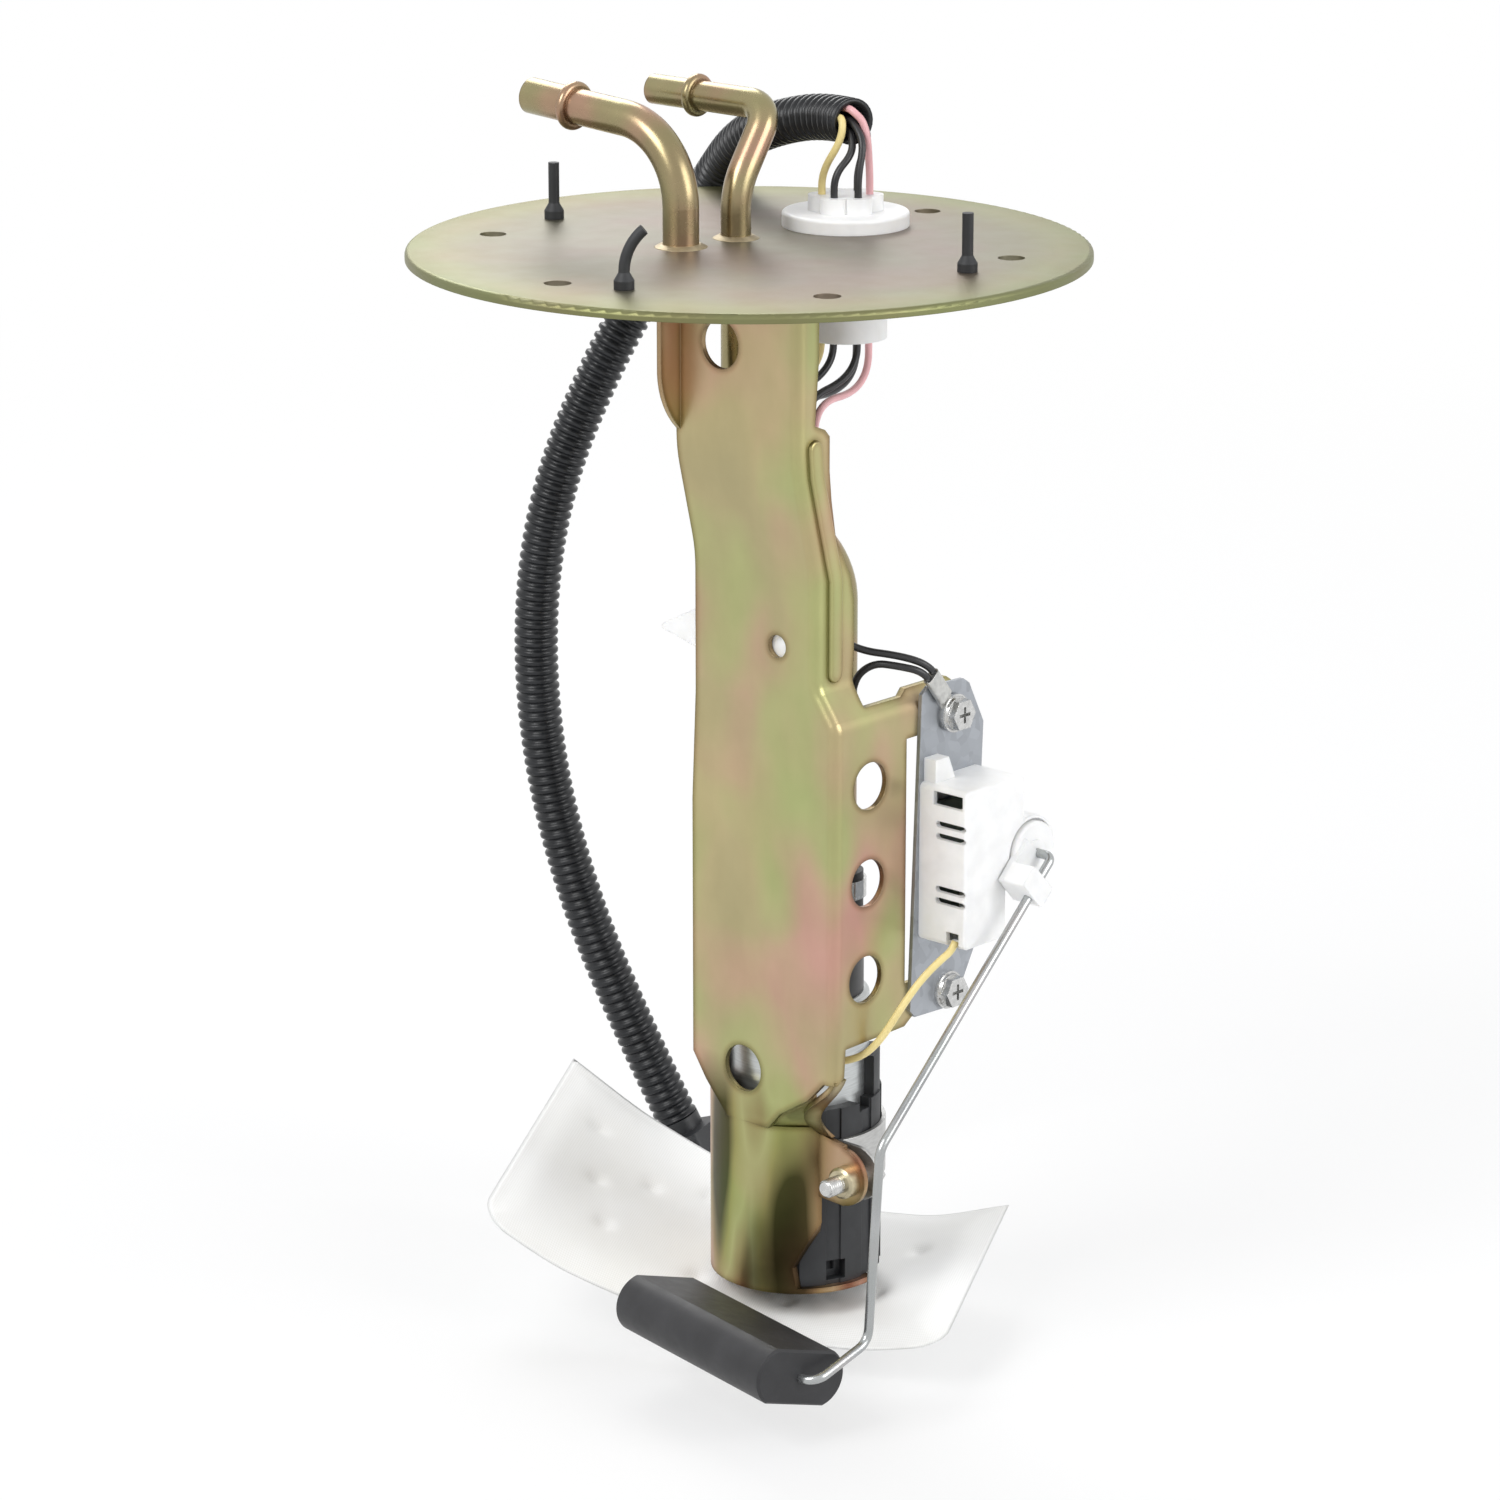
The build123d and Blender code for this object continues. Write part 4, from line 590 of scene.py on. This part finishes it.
def tube_mesh(name, stations, radius_at, sides, hollow=0.0, depth=0.0):
    """A tube round stations; where hollow is set, its first end is open and hollow to a depth."""
    side = stations[0][1].orthogonal().normalized()
    shell = bmesh.new()
    rings = []

    def ring_of_points(spot, side, up, radius):
        return [shell.verts.new(spot + (side * cos(a) + up * sin(a)) * radius)
                for a in (2 * pi * k / sides for k in range(sides))]

    for spot, way, far in stations:
        side = (side - way * side.dot(way)).normalized()
        up = way.cross(side)
        rings.append(ring_of_points(spot, side, up, radius_at(far)))
        if hollow and far <= depth:
            deepest = spot, side, up
            if far == 0:
                mouth = ring_of_points(spot, side, up, hollow)
    for low, high in zip(rings, rings[1:]):
        for k in range(sides):
            shell.faces.new((low[k], low[(k + 1) % sides], high[(k + 1) % sides], high[k]))
    if hollow:
        floor_ring = ring_of_points(*deepest, hollow)
        for k in range(sides):
            n = (k + 1) % sides
            shell.faces.new((mouth[k], mouth[n], rings[0][n], rings[0][k]))
            shell.faces.new((floor_ring[k], floor_ring[n], mouth[n], mouth[k]))
        shell.faces.new(floor_ring[::-1])
    else:
        shell.faces.new(rings[0][::-1])
    shell.faces.new(rings[-1])
    bmesh.ops.recalc_face_normals(shell, faces=shell.faces)
    mesh = bpy.data.meshes.new(name)
    shell.to_mesh(mesh)
    shell.free()
    return smooth(mesh)


rib_pitch, rib_depth, steps_per_rib = 2.7 * mm, 0.95 * mm, 8
crest_share, rib_steepness = 0.75, 1.15  # a share above one half makes the crests wider than the valleys


def rib_radius(far):
    """Flat crests and narrow valleys along the loom."""
    phase = (far / rib_pitch) % 1.0
    rise = min(1.0, max(0.0, crest_share + rib_steepness * cos(2 * pi * phase)))
    return loom_radius - rib_depth * (1 - rise)


loom_line = spline_points(loom_route)
loom_stations, loom_length = walk(loom_line, rib_pitch / steps_per_rib)
loom = new_piece("loom", tube_mesh("loom", loom_stations, rib_radius, loom_sides, bore_radius, bore_depth),
                 "module", "loom_black")
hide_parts("wire_loom")
print("loom length", round(loom_length, 4), "ribs", round(loom_length / rib_pitch))

# %% [markdown]
# Insulated wire is springy: between the places that hold it, it lies in one smooth curve with no straight runs
# and round corners. Each wire here starts inside the loom, comes out of its mouth, drops through its seat in the
# grommet and joins the bundle behind the web. The routes are in millimetres, and a spline smooths each of them.

# %% Wires
wire_routes = {
    "wire_yellow": [
        (-10.4, 41.5, 30.1), (-4.8, 39.5, 30.2), (-1.9, 38.5, 30.2), (-1.3, 37.3, 24.8), (-6.1, 35.0, 16.2),
        (-6.1, 35.0, 9.0), (-6.1, 35.0, -22.0), (-6.1, 35.0, -36.6), (-2.1, 9.4, -41.0), (25.5, -10.9, -64.0),
        (25.5, -10.9, -74.0), (25.5, -10.9, -189.0), (25.5, -10.9, -201.0), (30.0, -8.0, -212.0),
        (39.9, -4.1, -211.0), (46.8, -1.5, -205.9), (51.2, 4.7, -194.0), (53.4, 8.6, -188.2), (55.6, 13.4, -183.7),
        (57.2, 17.4, -180.9), (57.0, 18.5, -178.5)],
    "wire_pink": [
        (-9.6, 43.9, 32.3), (-3.9, 42.0, 32.4), (-1.1, 41.0, 32.4), (2.6, 42.8, 28.6), (3.1, 43.6, 16.2),
        (3.1, 43.6, 9.0), (3.1, 43.6, -22.0), (3.1, 43.6, -42.4), (8.6, 12.8, -41.0), (32.8, -5.9, -64.0),
        (32.8, -5.9, -74.0), (32.8, -5.9, -156.0), (32.8, -5.9, -168.0), (14.0, 1.5, -175.5), (14.0, 1.5, -181.5)],
    "wire_pump_ground": [
        (-9.4, 44.3, 29.1), (-3.8, 42.3, 29.2), (-0.9, 41.4, 29.2), (4.4, 39.8, 24.3), (4.5, 37.4, 16.2),
        (4.5, 37.4, 9.0), (4.5, 37.4, -22.0), (4.5, 37.4, -37.4), (5.6, 11.8, -41.0), (30.7, -7.3, -64.0),
        (30.7, -7.3, -74.0), (30.7, -7.3, -148.0), (30.7, -7.3, -160.0), (9.0, -1.5, -174.0), (9.0, -1.5, -181.5)],
    "wire_splice": [
        (-8.4, 47.2, 28.3), (-2.7, 45.3, 28.4), (0.1, 44.3, 28.4), (1.6, 45.0, 24.5), (-2.9, 45.5, 16.2),
        (-2.9, 45.5, 9.0), (-2.9, 45.5, -22.0), (-2.9, 45.5, -43.0), (3.0, 11.0, -41.0), (29.0, -8.5, -64.0),
        (29.0, -8.5, -74.0), (29.0, -8.5, -90.5), (29.0, -8.5, -102.5), (25.2, -2.8, -108.0), (28.6, 4.6, -113.0),
        (28.6, 4.6, -117.0)],
    "wire_plate_ground": [
        (-9.6, 43.6, 26.3), (-3.9, 41.7, 26.4), (-1.1, 40.7, 26.4), (1.8, 38.6, 21.6), (-0.1, 33.1, 16.2),
        (-0.1, 33.1, 9.0), (-0.1, 33.1, -22.0), (-0.1, 33.1, -36.0), (0.4, 10.2, -41.0), (27.3, -9.7, -64.0),
        (27.3, -9.7, -84.0), (22.8, -3.2, -92.0), (31.0, 6.0, -101.6), (41.5, 13.4, -102.9), (46.5, 18.4, -105.4),
        (46.5, 20.5, -107.8)],
    "wire_jumper": [
        (31.4, 5.4, -117.0), (31.4, 5.4, -110.0), (35.8, 8.4, -104.8), (42.0, 11.6, -105.2), (46.5, 16.6, -106.9),
        (46.5, 18.6, -109.4)],
}
insulation_radius, wire_step, wire_sides = 1.0 * mm, 1.0 * mm, 14
for node_name, route in wire_routes.items():
    wire_line = spline_points([tuple(Vector(spot) * mm) for spot in route])
    wire_stations, wire_length = walk(wire_line, wire_step)
    wire_mesh = tube_mesh(node_name, wire_stations, lambda far: insulation_radius, wire_sides)
    strand = new_piece(node_name.replace("wire", "strand"), wire_mesh, "module", slot_of[node_name])
    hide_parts(node_name)
    print(node_name, round(wire_length, 3), "m")

# %% [markdown]
# The strainer sock is a flat bag of gauze, 139 by 80 mm, welded shut along three edges and spot-welded to the
# frame inside. It hangs from its corners, so it sags in the middle. The bag is made flat first, as two sheets
# with a sealed border, and each point is then moved onto the sagging surface that the CAD solid fills.

# %% Strainer sock
back_left, back_right = Vector((-90.4, 24.1, -249.0)) * mm, Vector((33.5, 70.8, -274.7)) * mm
front_left, front_right = Vector((-57.5, -47.2, -267.7)) * mm, Vector((69.0, 0.5, -285.5)) * mm
# Each station: the share of the length, then how far the back and the front edge sag there, in millimetres.
sag_stations = ((0.0, 0.0, 0.0), (0.2, 10.5, 9.5), (0.5, 18.0, 13.5), (0.8, 12.0, 8.5), (1.0, 0.0, 0.0))
back_sag, front_sag = 1, 2
sock_long, sock_wide = 139 * mm, 80 * mm
sock_corner = 9 * mm
neck_spot = Vector((6.0, 12.0, -286.5)) * mm


def sag(share, column):
    """A smooth line through the sag of each station."""
    stations = [(s[0], s[column] * mm) for s in sag_stations]
    for i in range(len(stations) - 1):
        (t0, a), (t1, b) = stations[i], stations[i + 1]
        if share <= t1 or i == len(stations) - 2:
            before = stations[max(i - 1, 0)]
            after = stations[min(i + 2, len(stations) - 1)]
            k = (share - t0) / (t1 - t0)
            slope_a = (b - before[1]) / (t1 - before[0]) * (t1 - t0)
            slope_b = (after[1] - a) / (after[0] - t0) * (t1 - t0)
            return ((2 * k ** 3 - 3 * k * k + 1) * a + (k ** 3 - 2 * k * k + k) * slope_a
                    + (3 * k * k - 2 * k ** 3) * b + (k ** 3 - k * k) * slope_b)


def on_sock(u, v):
    """The middle surface of the bag at a flat place: u along it, v from its back edge to its front edge."""
    share, across = u / sock_long, v / sock_wide
    back = back_left.lerp(back_right, share) - Vector((0, 0, sag(share, back_sag)))
    front = front_left.lerp(front_right, share) - Vector((0, 0, sag(share, front_sag)))
    return back.lerp(front, across)


def rounded(u, v):
    """Draws the flat places near the two front corners in, so that each corner is round."""
    for cu, inside in ((sock_corner, u < sock_corner), (sock_long - sock_corner, u > sock_long - sock_corner)):
        if inside and v > sock_wide - sock_corner:
            du, dv = u - cu, v - (sock_wide - sock_corner)
            far, square = sqrt(du * du + dv * dv), max(abs(du), abs(dv))
            if far > 1e-9:
                return cu + du * square / far, sock_wide - sock_corner + dv * square / far
    return u, v


def flat_from(spot):
    """The flat place whose point on the bag lies nearest a spot, seen from above."""
    _, near_u, near_v = min(((on_sock(u * mm, v * mm) - spot).xy.length, u, v)
                            for u in range(0, 140, 2) for v in range(0, 81, 2))
    return near_u * mm, near_v * mm


neck_u, neck_v = flat_from(neck_spot)
welds = [(u * mm, v * mm) for u, v in ((16, 20), (22, 40), (30, 56), (52, 22), (60, 60), (88, 62), (112, 50),
                                       (118, 26), (92, 20), (36, 30))]
sealed_border, puff_width = 2.5 * mm, 9 * mm
thin_half, puffed_half = 0.35 * mm, 1.75 * mm
weld_radius, weld_share = 2.4 * mm, 0.7


def sock_half(u, v):
    """Half the bag's thickness: thin at the sealed border and at the welds, full between them."""
    edge = min(u, sock_long - u, v, sock_wide - v)
    puff = min(1.0, max(0.0, (edge - sealed_border) / puff_width))
    half = thin_half + puffed_half * sin(puff * pi / 2)
    for wu, wv in welds:
        gap = sqrt((u - wu) ** 2 + (v - wv) ** 2)
        half *= 1 - weld_share * exp(-(gap / weld_radius) ** 2)
    return half


crease_reach, crease_start, still_border = 26 * mm, 9 * mm, 8 * mm
crease_count, crease_height, wave_height, wrinkle_share = 3.2, 2.2, 0.9, 0.7


def sock_wrinkle(u, v):
    """Creases that run out from the neck and soft waves elsewhere."""
    du, dv = u - neck_u, v - neck_v
    far = sqrt(du * du + dv * dv)
    edge = min(u, sock_long - u, v, sock_wide - v)
    near = exp(-far / crease_reach) * min(1.0, far / crease_start)
    turned = Vector((crease_count * du / (far + 1e-6), crease_count * dv / (far + 1e-6), 0.4))
    rays = noise.noise(turned) * crease_height * near
    waves = noise.noise(Vector((u * 55, v * 75, 1.7))) * wave_height
    return (rays + waves) * mm * min(1.0, edge / still_border) * wrinkle_share


def sock_mesh(across=92, down=54):
    """Two sheets of points that share their rim; each point keeps its flat place for the weave."""
    bag = bmesh.new()
    place = bag.verts.layers.float_vector.new("flat_place")
    sheets = []
    for sign in (1, -1):
        rows = []
        for j in range(down + 1):
            row = []
            for i in range(across + 1):
                rim = i in (0, across) or j in (0, down)
                if sign < 0 and rim:
                    row.append(sheets[0][j][i])
                    continue
                u, v = rounded(sock_long * i / across, sock_wide * j / down)
                spot = on_sock(u, v)
                if not rim:
                    spot += Vector((0, 0, sign * sock_half(u, v) + sock_wrinkle(u, v)))
                point = bag.verts.new(spot)
                point[place] = (u, v, 0)
                row.append(point)
            rows.append(row)
        sheets.append(rows)
        for j in range(down):
            for i in range(across):
                corner = (rows[j][i], rows[j][i + 1], rows[j + 1][i + 1], rows[j + 1][i])
                bag.faces.new(corner if sign < 0 else corner[::-1])
    bmesh.ops.recalc_face_normals(bag, faces=bag.faces)
    mesh = bpy.data.meshes.new("sock")
    bag.to_mesh(mesh)
    bag.free()
    return smooth(mesh)


sock = new_piece("sock", sock_mesh(), "module", "sock_nylon")
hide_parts("strainer_sock")
print("sock points", len(sock.data.vertices), "neck at", round(neck_u / mm), round(neck_v / mm))

# %% [markdown]
# The clamp bolt's thread shows beside its nut. A thread is a ridge that climbs as it turns, so one profile is
# carried along a helix at the bolt's own pitch.

# %% Bolt thread
bolt_low, bolt_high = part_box("clamp_bolt")
nut_low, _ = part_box("clamp_nut")
bolt_x, bolt_z = (bolt_low.x + bolt_high.x) / 2, (bolt_low.z + bolt_high.z) / 2
thread_pitch, thread_core, thread_crest, ridge_half = 0.8 * mm, 2.2 * mm, 2.52 * mm, 0.36 * mm
thread_start, thread_clear = 0.3 * mm, 0.4 * mm


def thread_mesh(steps=20):
    """A ridge of three lines, with a number of steps to each turn."""
    turns = (nut_low.y - bolt_low.y - thread_clear) / thread_pitch
    ridge = bmesh.new()
    last = None
    for k in range(int(turns * steps) + 1):
        a = 2 * pi * k / steps
        y = bolt_low.y + thread_start + thread_pitch * k / steps
        ring = []
        for out, shift in ((thread_core, -ridge_half), (thread_crest, 0.0), (thread_core, ridge_half)):
            ring.append(ridge.verts.new((bolt_x + out * cos(a), y + shift, bolt_z + out * sin(a))))
        if last:
            for n in range(3):
                m = (n + 1) % 3
                ridge.faces.new((last[n], last[m], ring[m], ring[n]))
        last = ring
    bmesh.ops.recalc_face_normals(ridge, faces=ridge.faces)
    mesh = bpy.data.meshes.new("bolt_thread")
    ridge.to_mesh(mesh)
    ridge.free()
    return smooth(mesh)


new_piece("bolt_thread", thread_mesh(), "module", "bright_steel")
print("thread from", round(bolt_low.y / mm, 1), "to", round(nut_low.y / mm, 1))

# %% [markdown]
# Under the web's sloped lower edge the sheet is pressed back until it meets the rim of the cup. The hollow
# between them is a patch of rows laid from one edge to the other, drawn in a little at its middle, and then
# given the thickness of the sheet, so that it reads as the same pressing from the front and from behind.

# %% Pressed corner of the bracket
web_edge = [(19.3, -14.2, -231.3), (22.4, -14.2, -229.0), (24.8, -14.2, -226.3), (29.7, -14.2, -223.2),
            (36.2, -13.4, -218.9)]
cup_edge = [(19.3, -12.5, -231.9), (22.4, -10.8, -231.9), (25.0, -8.9, -231.9), (27.4, -6.7, -231.9),
            (29.8, -4.6, -232.3)]
sheet_thickness, press_in = 1.5 * mm, Vector((-0.5, 0.9, -0.6)) * mm


def along(stations, share):
    """The place at a share of the way along a line of stations, in metres."""
    at = share * (len(stations) - 1)
    k = min(int(at), len(stations) - 2)
    return Vector(stations[k]).lerp(Vector(stations[k + 1]), at - k) * mm


def corner_mesh(columns=28, rows=8):
    """Rows of points from the web's edge to the cup's rim, made as thick as the sheet."""
    pressing = bmesh.new()
    lines = []
    for i in range(columns + 1):
        share = i / columns
        upper, lower = along(web_edge, share), along(cup_edge, share)
        lines.append([pressing.verts.new(upper.lerp(lower, j / rows) + press_in * sin(pi * j / rows) * share)
                      for j in range(rows + 1)])
    for left, right in zip(lines, lines[1:]):
        for j in range(rows):
            pressing.faces.new((left[j], left[j + 1], right[j + 1], right[j]))
    bmesh.ops.recalc_face_normals(pressing, faces=pressing.faces)
    bmesh.ops.solidify(pressing, geom=pressing.faces[:], thickness=sheet_thickness)
    mesh = bpy.data.meshes.new("bracket_corner")
    pressing.to_mesh(mesh)
    pressing.free()
    return smooth(mesh)


corner = new_piece("bracket_corner", corner_mesh(), "module", "bracket_zinc")
print("corner patch", len(corner.data.polygons), "faces")

# %% [markdown]
# The floor is a pale sheet under the hanging part. It is lit like everything else, so it keeps the part's soft
# shadow, and a share of plain white is added where the camera sees it, so that it reads as a white sweep.

# %% Floor
glow_fade = (("From Min", 0.35), ("From Max", 1.5), ("To Min", 0.66), ("To Max", 1.0))  # metres, then shares


def floor_finish():
    sheet = Finish("floor_white", (0.86, 0.86, 0.86), 0.9)
    glow = sheet.add("ShaderNodeEmission")
    glow.inputs["Color"].default_value = (1, 1, 1, 1)
    both = sheet.add("ShaderNodeMixShader")
    away = sheet.add("ShaderNodeVectorMath")
    away.operation = "LENGTH"
    sheet.link(sheet.where, away.inputs[0])
    near = sheet.add("ShaderNodeMapRange")
    near.interpolation_type = "SMOOTHSTEP"
    for socket, value in glow_fade:
        near.inputs[socket].default_value = value
    sheet.link(away.outputs["Value"], near.inputs["Value"])
    share = sheet.add("ShaderNodeMath")
    share.operation = "MULTIPLY"
    sheet.link(background_rays(sheet.tree), share.inputs[0])
    sheet.link(near.outputs["Result"], share.inputs[1])
    sheet.link(share.outputs[0], both.inputs["Fac"])
    sheet.link(sheet.shader.outputs[0], both.inputs[1])
    sheet.link(glow.outputs[0], both.inputs[2])
    out = next(node for node in sheet.tree.nodes if node.type == "OUTPUT_MATERIAL")
    sheet.link(both.outputs[0], out.inputs["Surface"])
    return sheet.done()


floor_mesh = bpy.data.meshes.new("floor")
floor_gap, reach = 6 * mm, 12.0
floor_level = cad_box[0].z - floor_gap
floor_corners = [(x * reach, y * reach, floor_level) for x, y in ((-1, -1), (1, -1), (1, 1), (-1, 1))]
floor_mesh.from_pydata(floor_corners, [], [(0, 1, 2, 3)])
floor_sheet = bpy.data.objects.new("floor", floor_mesh)
bpy.context.collection.objects.link(floor_sheet)
floor_sheet.data.materials.append(floor_finish())
print("floor at", round(floor_level, 4))
